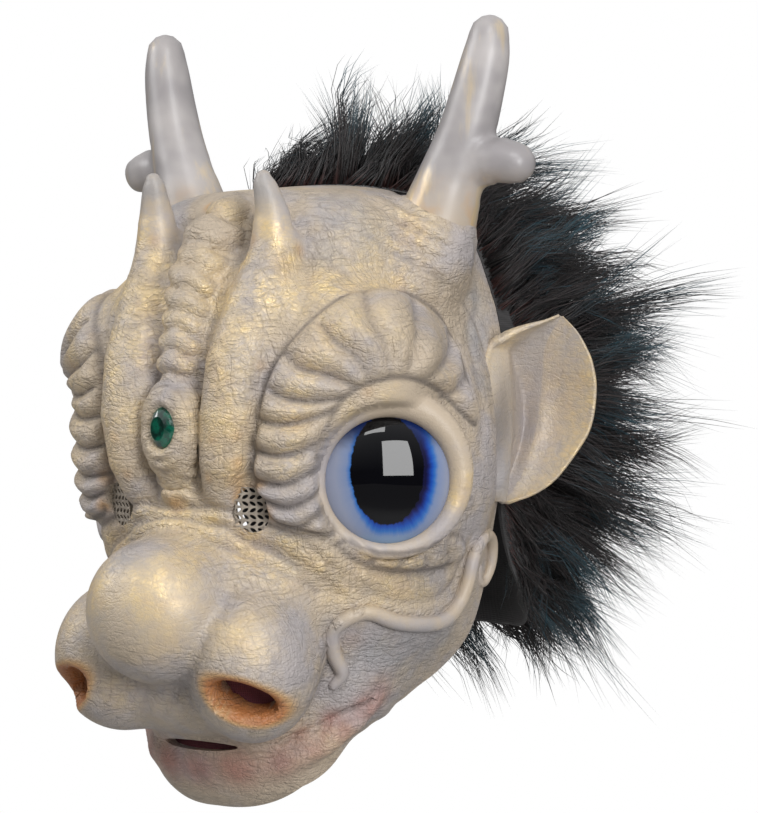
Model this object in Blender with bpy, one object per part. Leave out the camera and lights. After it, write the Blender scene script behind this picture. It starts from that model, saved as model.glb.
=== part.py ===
"""Dragon mask: a hollow latex face skin with antlers, ears, resin eyes, a forehead stone
and a fur hood.  Sizes are in millimetres and are turned to metres when a mesh is written.
Axes: +X is the wearer's left, the mask faces -Y, +Z is up.  The tables below give places
from the centre of the nose; the finished meshes are moved so that the origin is the seat
on the inside of the crown."""
import bpy
import bmesh
import numpy as np
from math import radians, sin, cos, pi, sqrt
from mathutils import Vector, Matrix

SEAT = np.array([0.0, 0.0, 247.0])      # inside of the crown, from the nose centre
WALL = 3.0                              # latex wall
GAP = 0.3                               # between pieces that touch
HUB = np.array([0.0, 8.0, 95.0])        # middle of the head, where the face lattice aims

# The head as lumps of clay: centre, radii, squareness, pitch, yaw and blend.
# A lump with a centre off the middle is mirrored.
LUMPS = [
    # name        centre            radii            square pitch yaw blend
    ("cranium",   (0, 0, 112),      (108, 118, 134), 2.4, 0, 0, 10),
    ("crown",     (0, -45, 205),    (92, 82, 42),    3.2, 0, 0, 18),
    ("forehead",  (0, -70, 95),     (104, 102, 125), 3.1, 0, 0, 16),
    ("temple",    (48, -54, 84),    (77, 69, 84),    2.5, 0, 0, 14),
    ("brow",      (75, -112, 136),  (50, 46, 46),    2.2, 0, 35, 18),
    ("fan_pad",   (70, -146, 98),   (30, 23, 58),    2.2, 0, 45, 8),
    ("bridge",    (0, -134, 36),    (52, 50, 40),    2.3, 0, 0, 12),
    ("snout",     (0, -138, 4),     (72, 50, 38),    2.3, 0, 0, 12),
    ("muzzle",    (0, -112, -8),    (76, 82, 54),    2.3, 0, 0, 16),
    ("cheek",     (60, -62, 12),    (50, 68, 58),    2.3, 0, 0, 18),
    ("nose_ball", (0, -190, 0),     (44, 44, 43),    2.0, 0, 0, 5),
    ("mound",     (0, -167, 104),   (18, 23, 28),    2.4, 0, 0, 5),
    ("wing",      (47, -165, -31),  (38, 44, 45),    2.0, 0, 20, 6),
    ("upper_lip", (0, -146, -50),   (58, 42, 28),    2.2, 0, 0, 8),
    ("jaw",       (0, -100, -80),   (62, 58, 47),    2.3, 8, 0, 10),
    ("jaw_rear",  (48, -70, -34),   (40, 58, 40),    2.2, 24, 8, 14),
    ("neck",      (0, 14, 0),       (98, 92, 90),    2.6, 0, 0, 20),
]

# Round ridges of clay on top: nodes of a centre line with a radius at each.
RIDGE = [
    # x   y     z    radius
    (28, -166, 58, 12), (34, -171, 87, 17), (37, -171, 112, 19), (38, -165, 141, 20),
    (40, -150, 172, 20), (42, -140, 193, 18), (43, -137, 209, 15.5),
]
HORN = [
    (42, -140, 194, 14), (43, -138, 207, 15.2), (43, -141, 226, 10.9), (42, -144, 240, 8),
    (41, -146, 250, 5),
]
LOWER_LIP = [
    (0, -148, -92, 9), (24, -145, -93, 9), (46, -134, -90, 8), (64, -117, -81, 7),
    (76, -102, -68, 6), (83, -93, -57, 4),
]
LIP_LINE = [
    (0, -154, -81, 3.4), (24, -151, -82, 3.2), (44, -140, -80, 2.8), (62, -122, -73, 2.6),
    (75, -106, -61, 2.6), (82, -96, -56, 2.0),
]
# The raised band between the ridges, and the wrinkled foot that each antler grows from.
BAND = [
    (0, -163, 122, 15), (0, -164, 142, 15), (0, -160, 165, 15.5), (0, -152, 187, 15.5),
    (0, -140, 206, 15), (0, -124, 222, 13), (0, -112, 231, 9),
]
PEDICLE = [(76, -50, 188, 28), (84, -46, 206, 27.5), (90, -43, 222, 25)]
WHISKER = [
    # runs from the hook beside the nostril over the cheek to the curl below the ear
    (72, -121, -46, 3.0), (77, -119, -38, 4.2), (76, -126, -26, 4.6), (79, -131, -13, 4.6),
    (87, -127, -5, 4.6), (95, -117, -2, 4.6), (102, -102, -8, 4.6), (107, -84, -11, 4.6),
    (109, -62, -11, 4.6), (110, -47, -3, 4.6), (113, -41, 10, 4.4), (115, -38, 24, 4.2),
    (115, -30, 34, 4.0), (110, -14, 37, 3.8), (106, -3, 31, 3.6), (103, 0, 18, 3.4),
    (102, -6, 8, 3.0), (103, -14, 10, 2.6), (105, -16, 18, 2.2),
]

# The eye: rim plane, axis and the frame in that plane (a towards the temple, b up).
EYE = np.array([104.0, -112.0, 75.0])
EYE_AXIS = np.array([sin(radians(45)), -cos(radians(45)), 0.0])
EYE_ACROSS = np.array([cos(radians(45)), sin(radians(45)), 0.0])
EYE_RADIUS = 38.0
EYE_DOME = 12.0
# Eyelid thickness round the eye: angle from the temple side, then tube radius.
LID = [(0, 7.0), (45, 8.5), (90, 9.5), (120, 8.0), (150, 5.5), (180, 4.5), (225, 4.5), (270, 4.5),
       (315, 5.5), (360, 7.0)]
# Furrows of the brow fan: angle at the middle of the fan and how far it swings outwards.
FURROW = [(40, 0), (54, 2), (66, 1), (80, 0), (93, 3), (107, 8), (123, 11), (137, 10), (150, 8),
          (164, 4), (180, 0), (194, -3), (208, -2), (222, 0)]
FAN_EDGE = [(40, 62), (57, 80), (68, 93), (83, 107), (95, 110), (104, 108), (116, 102), (129, 96),
            (139, 91), (156, 83), (180, 75), (200, 68), (222, 60)]

# The stone and its column of stacked bumps: height, half width, how far it stands out.
GEM = np.array([0.0, -189.0, 105.0])
GEM_SIZE = (9.0, 12.5, 5.0)             # half width, half height, height above the girdle
BUMP = [
    # z    half width  out   half height
    (66,   13, 9,  6), (76, 15, 11, 6), (86, 17, 12, 6), (128, 15, 6, 7), (142, 15, 6, 7),
    (156, 15.5, 6, 7.5), (170, 15.5, 6.5, 7.5), (184, 15.5, 6.5, 7.5), (199, 15, 6.5, 8),
    (214, 14, 6, 8), (229, 12, 5, 8),
]
MESH_AT = np.array([47.0, -163.0, 59.0])
MESH_SIZE = (10.5, 13.0)
NOSTRIL = np.array([61.0, -190.0, -46.0])
NOSTRIL_SIZE = (16.0, 8.5)


# Clay functions.
def table(rows, x, column=1):
    return np.interp(x, [r[0] for r in rows], [r[column] for r in rows])


def smooth_min(a, b, k):
    h = np.clip(0.5 + 0.5 * (b - a) / k, 0, 1)
    return b * (1 - h) + a * h - k * h * (1 - h)


def turn(pitch, yaw):
    return np.array(Matrix.Rotation(radians(yaw), 3, 'Z') @ Matrix.Rotation(radians(pitch), 3, 'X'))


def lump_field(p, rows):
    """Distance to the lumps, blended; p is folded so that x is never negative."""
    d = None
    for name, centre, radii, n, pitch, yaw, blend in rows:
        r = np.array(radii, float)
        q = (p - np.array(centre, float)) @ turn(pitch, yaw) / r
        a = np.abs(q) + 1e-9
        s = (a ** n).sum(-1)
        slope = (a ** (n - 1)) * (s ** (1 / n - 1))[..., None] / r
        e = (s ** (1 / n) - 1) / (np.linalg.norm(slope, axis=-1) + 1e-12)
        d = e if d is None else smooth_min(d, e, blend)
    return d


def tube_field(p, rows):
    """Distance to a tapered tube along the nodes."""
    best = None
    for a, b in zip(rows[:-1], rows[1:]):
        a, b = np.array(a, float), np.array(b, float)
        ab = b[:3] - a[:3]
        t = np.clip(((p - a[:3]) @ ab) / (ab @ ab), 0, 1)
        e = np.linalg.norm(p - a[:3] - t[..., None] * ab, axis=-1) - (a[3] + t * (b[3] - a[3]))
        best = e if best is None else np.minimum(best, e)
    return best


def eye_frame(p):
    q = p - EYE
    return q @ EYE_ACROSS, q[..., 2], q @ EYE_AXIS


def lid_field(p):
    a, b, w = eye_frame(p)
    angle = np.degrees(np.arctan2(b, a)) % 360
    r = table(LID, angle)
    return np.hypot(np.hypot(a, b) - EYE_RADIUS - r + 1.5, w - 1.0) - r


def skin_field(p):
    p = p.copy()
    p[..., 0] = np.abs(p[..., 0])
    d = lump_field(p, LUMPS)
    d = smooth_min(d, tube_field(p, PEDICLE), 12)
    d = smooth_min(d, tube_field(p, BAND), 3)
    d = smooth_min(d, tube_field(p, RIDGE), 4)
    a, b, w = eye_frame(p)
    socket = np.maximum(np.hypot(a, b) - EYE_RADIUS - 6, -6 - w)
    d = -smooth_min(-d, socket, 6)
    d = smooth_min(d, lid_field(p), 3)
    d = smooth_min(d, tube_field(p, LOWER_LIP), 5)
    d = -smooth_min(-d, tube_field(p, LIP_LINE), 3)
    return d


def plain_field(p):
    p = p.copy()
    p[..., 0] = np.abs(p[..., 0])
    return lump_field(p, LUMPS)


def relief(p):
    """How far the skin stands out from the clay: brow lobes, column bumps, collars."""
    q = p.copy()
    q[..., 0] = np.abs(q[..., 0])
    x, z = q[..., 0], q[..., 2]
    a, b, w = eye_frame(q)
    rho = np.hypot(a, b)
    angle = np.degrees(np.arctan2(b, a))
    angle = np.where(angle < -90, angle + 360, angle)
    # brow fan
    inner = EYE_RADIUS + 2 * table(LID, angle % 360) - 1
    outer = table(FAN_EDGE, angle)
    t = (rho - inner) / (outer - inner)
    swing = table(FURROW, angle)
    turned = angle - swing * (t - 0.5) * 2
    place = np.interp(turned, [f[0] for f in FURROW], np.arange(len(FURROW)))
    lobe = 1 - np.abs(2 * (place % 1) - 1) ** 2.6
    ends = np.clip((turned - 40) / 10, 0, 1) * np.clip((222 - turned) / 10, 0, 1)
    reach = np.clip(1 - np.abs(2 * t - 1) ** 4, 0, 1) * (t > 0) * (t < 1)
    front = np.clip((w + 60) / 30, 0, 1)
    out = 7.5 * np.sqrt(np.clip(lobe, 0, 1)) * reach ** 0.6 * ends * front
    # column of stacked bumps on the brow
    for bz, half, high, tall in BUMP:
        e = 1 - (x / half) ** 2 - ((z - bz + 0.02 * x * x) / tall) ** 2
        out = np.maximum(out, high * np.sqrt(np.clip(e, 0, 1)) * (p[..., 1] < -60))
    return out


# Lattices.
def directions(u, v):
    return np.stack([np.sin(v), -np.cos(v) * np.cos(u), np.cos(v) * np.sin(u)], -1)


def reach_of(field, d, start=330.0, steps=70):
    r = np.full(d.shape[:-1], start)
    for _ in range(steps):
        r = r - np.clip(field(HUB + d * r[..., None]), -6, 60) * 0.7
    return r


def edges_of(rows, v, column):
    return np.interp(np.abs(v), [r[0] for r in rows], [r[column] for r in rows])


# Where the face skin starts below and ends on the crown, and where the hood hangs to:
# side angle, chin edge, crown edge, nape hem.
EDGE = [
    (0, -56, 72.4, 232), (12, -57, 72.6, 233), (20, -63, 75, 235), (30, -72, 83, 240),
    (40, -78, 89, 246), (50, -82, 91, 254), (65, -86, 91, 262), (88, -89, 90, 268),
]


# How close the rows lie from the chin (0) to the crown (1): closest on the nose.
CROWD = [(0, 1.0), (0.08, 1.7), (0.3, 1.9), (0.45, 1.3), (0.75, 1.0), (1, 0.8)]


def lattice(rows, columns, low, high, side=86.0, crowd=0.0):
    v = np.linspace(-1, 1, columns)
    v = np.radians(side * (v + crowd * np.sin(np.pi * v) / np.pi))
    s = np.linspace(0, 1, rows)[:, None]
    if crowd:
        fine = np.linspace(0, 1, 400)
        run = np.cumsum(np.interp(fine, [c[0] for c in CROWD], [c[1] for c in CROWD]))
        s = np.interp(s, (run - run[0]) / (run[-1] - run[0]), fine)
    lo, hi = edges_of(EDGE, np.degrees(v), low), edges_of(EDGE, np.degrees(v), high)
    if low == 2:
        lo = lo + 2.0
    u = np.radians(lo + (hi - lo) * s)
    return u, np.broadcast_to(v, u.shape)


def thin(grid, step):
    """Smallest value near every step-th point of a grid, smoothed a little."""
    pad = np.pad(grid, step, mode='edge')
    n, m = grid.shape
    low = np.min([pad[i:i + n, j:j + m] for i in range(2 * step + 1) for j in range(2 * step + 1)],
                 axis=0)
    pad = np.pad(low, 1, mode='edge')
    soft = np.mean([pad[i:i + n, j:j + m] for i in range(3) for j in range(3)], axis=0)
    return np.minimum(soft, low + 1.5)[::step, ::step]


def quilt(n, m):
    """Two triangles for each cell of a lattice, mirrored about its middle column."""
    faces = []
    for i in range(n - 1):
        for j in range(m - 1):
            a, b, c, d = i * m + j, i * m + j + 1, (i + 1) * m + j + 1, (i + 1) * m + j
            faces += [(a, b, c), (a, c, d)] if 2 * j >= m - 1 else [(a, b, d), (b, c, d)]
    return faces


def shell_mesh(name, outer, inner, step):
    """A closed wall from an outer grid and an inner grid that has every step-th point."""
    n, m = outer.shape[:2]
    k, l = inner.shape[:2]
    points = np.concatenate([outer.reshape(-1, 3), inner.reshape(-1, 3)])
    base = n * m
    faces = quilt(n, m) + [tuple(base + c for c in f[::-1]) for f in quilt(k, l)]

    def rim(outs, ins):
        for c in range(len(ins) - 1):
            o = outs[c * step:(c + 1) * step + 1]
            for e in range(step):
                faces.append((o[e + 1], o[e], ins[c] if e < (step + 1) // 2 else ins[c + 1]))
                if e == (step + 1) // 2 - 1:
                    faces.append((o[e + 1], ins[c], ins[c + 1]))

    rim([j for j in range(m)], [base + j for j in range(l)])
    rim([(n - 1) * m + j for j in range(m)][::-1], [base + (k - 1) * l + j for j in range(l)][::-1])
    rim([i * m for i in range(n)][::-1], [base + i * l for i in range(k)][::-1])
    rim([i * m + m - 1 for i in range(n)], [base + i * l + l - 1 for i in range(k)])
    return mesh_object(name, points, faces)


def mesh_object(name, points, faces):
    mesh = bpy.data.meshes.new(name)
    places = (np.asarray(points, float) - SEAT) / 1000
    mesh.from_pydata(places.tolist(), [], [tuple(int(i) for i in f) for f in faces])
    mesh.validate()
    obj = bpy.data.objects.new(name, mesh)
    bpy.context.scene.collection.objects.link(obj)
    body = bmesh.new()
    body.from_mesh(mesh)
    bmesh.ops.recalc_face_normals(body, faces=body.faces)
    body.to_mesh(mesh)
    body.free()
    return obj


def sweep(name, rows, sides, start_cap=True, flatten=1.0):
    """A tapered tube along the nodes with pointed round ends."""
    nodes = [np.array(r, float) for r in rows]
    points, rings = [], []
    normal = None
    for i, node in enumerate(nodes):
        before, after = nodes[max(i - 1, 0)][:3], nodes[min(i + 1, len(nodes) - 1)][:3]
        along = (after - before) / np.linalg.norm(after - before)
        if normal is None:
            normal = np.cross(along, (0, 0, 1.0) if abs(along[2]) < 0.8 else (1.0, 0, 0))
        normal = normal - (normal @ along) * along
        normal /= np.linalg.norm(normal)
        side = np.cross(along, normal)
        rings.append(len(points))
        for k in range(sides):
            a = 2 * pi * k / sides
            points.append(node[:3] + node[3] * (cos(a) * normal + sin(a) * side))
    tips = []
    for end, way in ((0, 1), (-1, -2)):
        node, other = nodes[end], nodes[way]
        along = (node[:3] - other[:3]) / np.linalg.norm(node[:3] - other[:3])
        tips.append(len(points))
        points.append(node[:3] + along * node[3] * 0.75)
    faces = []
    for a, b in zip(rings[:-1], rings[1:]):
        faces += [(a + k, a + (k + 1) % sides, b + (k + 1) % sides, b + k) for k in range(sides)]
    faces += [(rings[0] + (k + 1) % sides, rings[0] + k, tips[0]) for k in range(sides)]
    faces += [(rings[-1] + k, rings[-1] + (k + 1) % sides, tips[1]) for k in range(sides)]
    return mesh_object(name, points, faces)


def boolean(obj, other, operation):
    mod = obj.modifiers.new("cut", 'BOOLEAN')
    mod.operation, mod.solver, mod.object = operation, 'EXACT', other
    mod.use_self = operation == 'UNION'
    graph = bpy.context.evaluated_depsgraph_get()
    graph.update()
    mesh = bpy.data.meshes.new_from_object(obj.evaluated_get(graph))
    obj.modifiers.clear()
    obj.data = mesh
    bpy.data.objects.remove(other)
    return obj


def mirrored(rows):
    return [(-r[0],) + tuple(r[1:]) for r in rows]


def unit(v):
    v = np.array(v, float)
    return v / np.linalg.norm(v)


def frame_of(axis):
    """Across and up for a plane that faces along the axis."""
    axis = unit(axis)
    across = unit(np.cross((0, 0, 1.0), axis))
    return across, np.cross(axis, across), axis


def plug(name, centre, axis, rings, sides, roll=0.0):
    """A solid of elliptical rings along an axis: each ring has half width, half height, place."""
    across, up, axis = frame_of(axis)
    c, s = cos(radians(roll)), sin(radians(roll))
    across, up = c * across + s * up, c * up - s * across
    points, faces = [], []
    for a, b, w in rings:
        for k in range(sides):
            t = 2 * pi * k / sides
            points.append(centre + a * cos(t) * across + b * sin(t) * up + w * axis)
    for i in range(len(rings) - 1):
        o = i * sides
        faces += [(o + k, o + (k + 1) % sides, o + sides + (k + 1) % sides, o + sides + k)
                  for k in range(sides)]
    faces.append(tuple(range(sides))[::-1])
    faces.append(tuple((len(rings) - 1) * sides + k for k in range(sides)))
    return mesh_object(name, points, faces)


def head_blank(push, around=30, across=15):
    """The space that the whole head takes up, out to a small push above its skin."""
    points, faces = [], []
    for j in range(across):
        v = np.full(around, radians(-84 + 168 * j / (across - 1)))
        way = directions(2 * pi * np.arange(around) / around, v)
        points.extend(HUB + way * (reach_of(plain_field, way) + push)[:, None])
    for j in range(across - 1):
        for k in range(around):
            a, b = j * around + k, j * around + (k + 1) % around
            faces += [(a, b, b + around), (a, b + around, a + around)]
    faces.append(tuple(range(around)))
    faces.append(tuple((across - 1) * around + k for k in range(around)))
    return mesh_object("head_blank", points, faces)


def star_blank(outer, push):
    """The space under a lattice, down to the middle of the head, pushed out a little."""
    n, m = outer.shape[:2]
    ray = outer - HUB
    ray = ray + push * ray / np.linalg.norm(ray, axis=-1, keepdims=True)
    loop = ([j for j in range(m)] + [i * m + m - 1 for i in range(1, n)]
            + [(n - 1) * m + j for j in range(m - 2, -1, -1)] + [i * m for i in range(n - 2, 0, -1)])
    sides = [(loop[(k + 1) % len(loop)], loop[k], n * m) for k in range(len(loop))]
    return mesh_object("blank", np.concatenate([(HUB + ray).reshape(-1, 3), HUB[None]]),
                       quilt(n, m) + sides)


def largest_body(obj):
    """Keep the largest joined body of a mesh and drop slivers that a cut set free."""
    body = bmesh.new()
    body.from_mesh(obj.data)
    left, groups = set(body.verts), []
    while left:
        stack, group = [left.pop()], []
        while stack:
            point = stack.pop()
            group.append(point)
            for edge in point.link_edges:
                other = edge.other_vert(point)
                if other in left:
                    left.remove(other)
                    stack.append(other)
        groups.append(group)
    groups.sort(key=len)
    for group in groups[:-1]:
        bmesh.ops.delete(body, geom=group, context='VERTS')
    body.to_mesh(obj.data)
    body.free()


for spare in list(bpy.data.objects):
    bpy.data.objects.remove(spare)

# Face shell.
ROWS, COLUMNS = 41, 33
u, v = lattice(ROWS, COLUMNS, 1, 2, 88.0, -0.3)
ways = directions(u, v)
r_out = reach_of(skin_field, ways)
out_points = HUB + ways * r_out[..., None]
r_out = r_out + relief(out_points)
outer_face = HUB + ways * r_out[..., None]


def inner_radius(field, ways, r_outer, wall, step):
    deep = reach_of(lambda p: field(p) + wall, ways[::step, ::step], 320.0)
    pad = np.pad(r_outer, 1, mode='edge')
    n, m = r_outer.shape
    low = np.min([pad[i:i + n, j:j + m] for i in range(3) for j in range(3)], axis=0)
    return np.minimum(deep, low[::step, ::step] - 0.6 * wall)


r_in = inner_radius(skin_field, ways, r_out, WALL, 2)
inner_face = HUB + ways[::2, ::2] * r_in[..., None]
face_shell = shell_mesh("face_shell", outer_face, inner_face, 2)

for rows in (HORN, mirrored(HORN)):
    boolean(face_shell, sweep("horn", rows, 8), 'UNION')
for rows in (WHISKER[:17:2], mirrored(WHISKER[:17:2])):
    boolean(face_shell, sweep("whisker", rows, 4), 'UNION')

MESH_AXIS = (sin(radians(24)), -cos(radians(24)), -0.12)
NOSTRIL_AXIS = (0.42, -0.86, -0.28)


def flipped(v):
    return np.array([-v[0], v[1], v[2]], float)


for flip in (lambda v: np.array(v, float), flipped):
    roll = -24 if flip is not flipped else 24
    boolean(face_shell, plug("socket", flip(EYE), flip(EYE_AXIS),
                             [(EYE_RADIUS, EYE_RADIUS, -4.3), (EYE_RADIUS, EYE_RADIUS, 45)],
                             30), 'DIFFERENCE')
    a, b = MESH_SIZE
    boolean(face_shell, plug("window", flip(MESH_AT), flip(MESH_AXIS), [(a, b, -14), (a, b, 25)],
                             16), 'DIFFERENCE')
    a, b = NOSTRIL_SIZE
    boolean(face_shell, plug("nostril_cut", flip(NOSTRIL), flip(NOSTRIL_AXIS),
                             [(a * 0.85, b * 0.85, -26), (a, b, 0), (a * 1.3, b * 1.4, 26)],
                             12, roll), 'DIFFERENCE')
a, b, high = GEM_SIZE
boolean(face_shell, plug("seat", GEM, (0, -1, 0), [(a + GAP, b + GAP, -3.3),
                                                   (a + GAP, b + GAP, 30)], 20), 'DIFFERENCE')
boolean(face_shell, plug("mouth_cut", np.array([0, -146.0, -82.0]), (0, -1, 0),
                         [(22, 3.2, -14), (23, 3.6, 30)], 14), 'DIFFERENCE')

# Antlers and ears.
ANTLER = [
    (86, -43, 208, 26), (92, -41, 228, 24), (100, -40, 250, 20.5), (109, -38, 275, 17.5),
    (116, -36, 300, 15.8), (121, -34, 322, 14.4), (123, -33, 337, 10),
]
BRANCH = [(108, -37, 256, 15.5), (126, -35, 261, 14), (142, -33, 260, 12)]
EAR_FOOT = np.array([109.0, 1.0, 56.0])
EAR_ACROSS = unit((0.84, 0.55, 0))
EAR_FACING = unit((0.55, -0.84, 0.0))
EAR = [
    # height front edge  outer edge  depth of the bowl
    (1, -4, 6, 1.5), (6, -9, 21, 5), (15, -13, 34, 9), (32, -16, 47, 15), (47, -17, 55, 19),
    (68, -15, 58, 18), (84, -10, 56, 13), (94, -3, 52, 9), (103, 11, 47, 5), (108, 24, 43, 2.5),
    (112, 34, 39, 1),
]
COUNT = 6


def ear_grids():
    x = np.linspace(0, 1, COUNT)
    front = []
    for h, near, far, deep in EAR:
        bowl = deep * np.sin(pi * np.clip(x * 0.92, 0, 1)) ** 0.8
        front.append(EAR_FOOT + (near + (far - near) * x)[:, None] * EAR_ACROSS
                     + np.array([0, 0, h]) - bowl[:, None] * EAR_FACING)
    front = np.array(front)
    du = np.gradient(front, axis=0)
    dv = np.gradient(front, axis=1)
    normal = np.cross(dv, du)
    normal /= np.linalg.norm(normal, axis=-1, keepdims=True)
    if (normal @ EAR_FACING).mean() < 0:
        normal = -normal
    return front, front - normal * WALL


front, back = ear_grids()
SIGN = np.array([-1.0, 1.0, 1.0])

HOOD_ROWS, HOOD_COLUMNS = 13, 15
hu, hv = lattice(HOOD_ROWS, HOOD_COLUMNS, 2, 3, 87.0)
hood_ways = directions(hu, hv)
HOOD_LUMPS = [row for row in LUMPS if row[0] in ("cranium", "crown", "neck", "temple")]


def hood_field(p):
    p = p.copy()
    p[..., 0] = np.abs(p[..., 0])
    return lump_field(p, HOOD_LUMPS)


hood_r = reach_of(hood_field, hood_ways)
hood_outer = HUB + hood_ways * hood_r[..., None]
for name, sign in (("left", 1), ("right", -1)):
    k = np.array([sign, 1.0, 1.0])
    ear = shell_mesh(name + "_ear", front * k, back * k, 1)
    main = [(r[0] * sign,) + r[1:] for r in ANTLER]
    twig = [(r[0] * sign,) + r[1:] for r in BRANCH]
    antler = sweep(name + "_antler", main, 12)
    boolean(antler, sweep("branch", twig, 10), 'UNION')
    boolean(ear, head_blank(1.3), 'DIFFERENCE')
    boolean(antler, star_blank(outer_face, 0.5), 'DIFFERENCE')

# Eyes, stone, panels, cloths.
for name, flip in (("left", lambda v: np.array(v, float)), ("right", flipped)):
    r = EYE_RADIUS - GAP
    dome = [(r * cos(t), r * cos(t), EYE_DOME * sin(t)) for t in np.radians([0, 24, 46, 66, 84])]
    plug(name + "_eye", flip(EYE), flip(EYE_AXIS), [(r, r, -4.0)] + dome, 20)

a, b, high = GEM_SIZE
plug("forehead_gem", GEM, (0, -1, 0), [(a * 0.7, b * 0.78, -3.0), (a, b, -0.6), (a, b, 0.6),
                                       (a * 0.8, b * 0.84, 3.0), (a * 0.55, b * 0.62, high)], 12)

for name, flip in (("left", lambda v: np.array(v, float)), ("right", flipped)):
    a, b = MESH_SIZE[0] - GAP, MESH_SIZE[1] - GAP
    panel = plug(name + "_vision_mesh", flip(MESH_AT) , flip(MESH_AXIS), [(a, b, 3.6), (a, b, 5.0)], 16)
    across, up, axis = frame_of(flip(MESH_AXIS))
    for row in range(-2, 3):
        for col in range(-2, 3):
            x, y = (col + 0.5 * (row % 2)) * 5.2, row * 4.6
            if (x / (a - 2.2)) ** 2 + (y / (b - 2.2)) ** 2 > 1:
                continue
            boolean(panel, plug("hole", flip(MESH_AT) + x * across + y * up, flip(MESH_AXIS),
                                [(1.9, 1.5, 1), (1.9, 1.5, 8)], 6), 'DIFFERENCE')
    ax = unit(flip(NOSTRIL_AXIS))
    inside = flip(NOSTRIL) - 23 * ax + flip((-13, 0, 8))
    plug(name + "_nostril_cloth", inside, flip(NOSTRIL_AXIS), [(13.5, 11, -0.6), (13.5, 11, 0.6)],
         12, -24 if name == "left" else 24)
plug("mouth_cloth", np.array([0, -139.6, -82.0]), (0, -1, 0), [(27, 7, -0.6), (27, 7, 0.6)], 12)

# Hood and mane.
hood = shell_mesh("hood", hood_outer, HUB + hood_ways * (hood_r - 2.5)[..., None], 1)
r1, r2 = hood_r + 0.5, hood_r + 6.0
mane = shell_mesh("mane", HUB + hood_ways * r2[..., None], HUB + hood_ways * r1[..., None], 1)

# Fur locks: place on the head, how many, how long and wide, and how far they rise.
LOCKS = [
    # from the crown edge (0) to the nape hem (1), locks across, length, width, rise
    (0.05, 6, 80, 20, 0.20), (0.19, 7, 94, 22, 0.12), (0.34, 8, 106, 23, 0.04),
    (0.49, 8, 114, 23, -0.02), (0.64, 8, 116, 23, -0.06), (0.79, 8, 108, 21, -0.12),
    (0.93, 7, 94, 18, -0.14),
]
LOCK_BEND = np.array([0, 0.06, -0.10])


def locks_mesh():
    points, faces = [], []
    for row, (s, count, length, width, rise) in enumerate(LOCKS):
        for k in range(count):
            v = radians(82 * (-1 + 2 * (k + 0.5 + 0.25 * sin(3.1 * row + 1.7 * k)) / count))
            lo, hi = edges_of(EDGE, np.degrees(v), 2), edges_of(EDGE, np.degrees(v), 3)
            way = directions(np.array(radians(lo + 2.0 + (hi - lo - 2.0) * s)), np.array(v))
            root = HUB + way * (reach_of(hood_field, way[None])[0] + 3.2)
            if abs(root[0]) > 84 and root[1] < 52 and 40 < root[2] < 172:
                continue
            aim = unit(way * 0.85 + np.array([0, 0.62, rise]))
            bend = LOCK_BEND * length
            long = length * (1 + 0.12 * sin(5.3 * k + 2.1 * row))
            middle = root + aim * long * 0.55 + bend * 0.25
            tip = root + aim * long + bend
            side = unit(np.cross(way, aim))
            over = unit(np.cross(side, way))
            o = len(points)
            points.extend([root + side * width, root + over * width * 0.55, root - side * width,
                           root - over * width * 0.55])
            across = unit(np.cross(side, tip - middle))
            for ring in (side * 0.78, across * 0.42, -side * 0.78, -across * 0.42):
                points.append(middle + ring * width)
            points.append(tip)
            faces += [(o + a, o + (a + 1) % 4, o + 4 + (a + 1) % 4, o + 4 + a) for a in range(4)]
            faces += [(o + 4 + a, o + 4 + (a + 1) % 4, o + 8) for a in range(4)]
            faces.append((o + 3, o + 2, o + 1, o))
    return mesh_object("locks", points, faces)


# what lies under the hood's skin trims the roots of the locks
hood_blank = star_blank(hood_outer, 0.3)
boolean(mane, locks_mesh(), 'UNION')
for name, sign in (("left", 1), ("right", -1)):
    boolean(mane, plug("ear_room", np.array([sign * 116.0, 12.0, 106.0]), (sign, 0, 0),
                       [(26, 56, -30), (26, 56, 30)], 16), 'DIFFERENCE')
boolean(mane, hood_blank, 'DIFFERENCE')
largest_body(mane)

# The finish of each piece: pearl-painted latex, resin, glass, punched plastic, cloth and fur.
FINISHES = [
    # word in the piece's name, colour, roughness, metallic
    ("face_shell", (0.47, 0.42, 0.36), 0.50, 0.15), ("antler", (0.42, 0.40, 0.41), 0.42, 0.10),
    ("ear", (0.47, 0.42, 0.37), 0.50, 0.10), ("eye", (0.03, 0.12, 0.50), 0.05, 0.0),
    ("gem", (0.00, 0.18, 0.10), 0.05, 0.0), ("vision_mesh", (0.28, 0.25, 0.21), 0.55, 0.0),
    ("cloth", (0.10, 0.03, 0.035), 0.90, 0.0), ("hood", (0.02, 0.02, 0.02), 0.90, 0.0),
    ("mane", (0.02, 0.025, 0.03), 0.60, 0.0),
]
for piece in bpy.context.scene.objects:
    colour, rough, metal = next(row[1:] for row in FINISHES if row[0] in piece.name)
    finish = bpy.data.materials.new(piece.name + "_finish")
    finish.use_nodes = True
    surface = finish.node_tree.nodes["Principled BSDF"]
    surface.inputs["Base Color"].default_value = (*colour, 1.0)
    surface.inputs["Roughness"].default_value = rough
    surface.inputs["Metallic"].default_value = metal
    piece.data.materials.clear()
    piece.data.materials.append(finish)
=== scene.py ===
"""Dressing of the dragon mask: a pearl-painted latex face with antlers, ears, resin eyes, a
green forehead stone and a fur hood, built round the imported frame.  The sculpting functions
count in millimetres from the centre of the nose, with +X to the wearer's left and the face
towards -Y; a finished mesh is written in metres from the seat inside the crown."""
from math import cos, pi, radians, sin

import bmesh
import bpy
import numpy as np
from mathutils import Matrix, Vector
from mathutils.kdtree import KDTree


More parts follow.
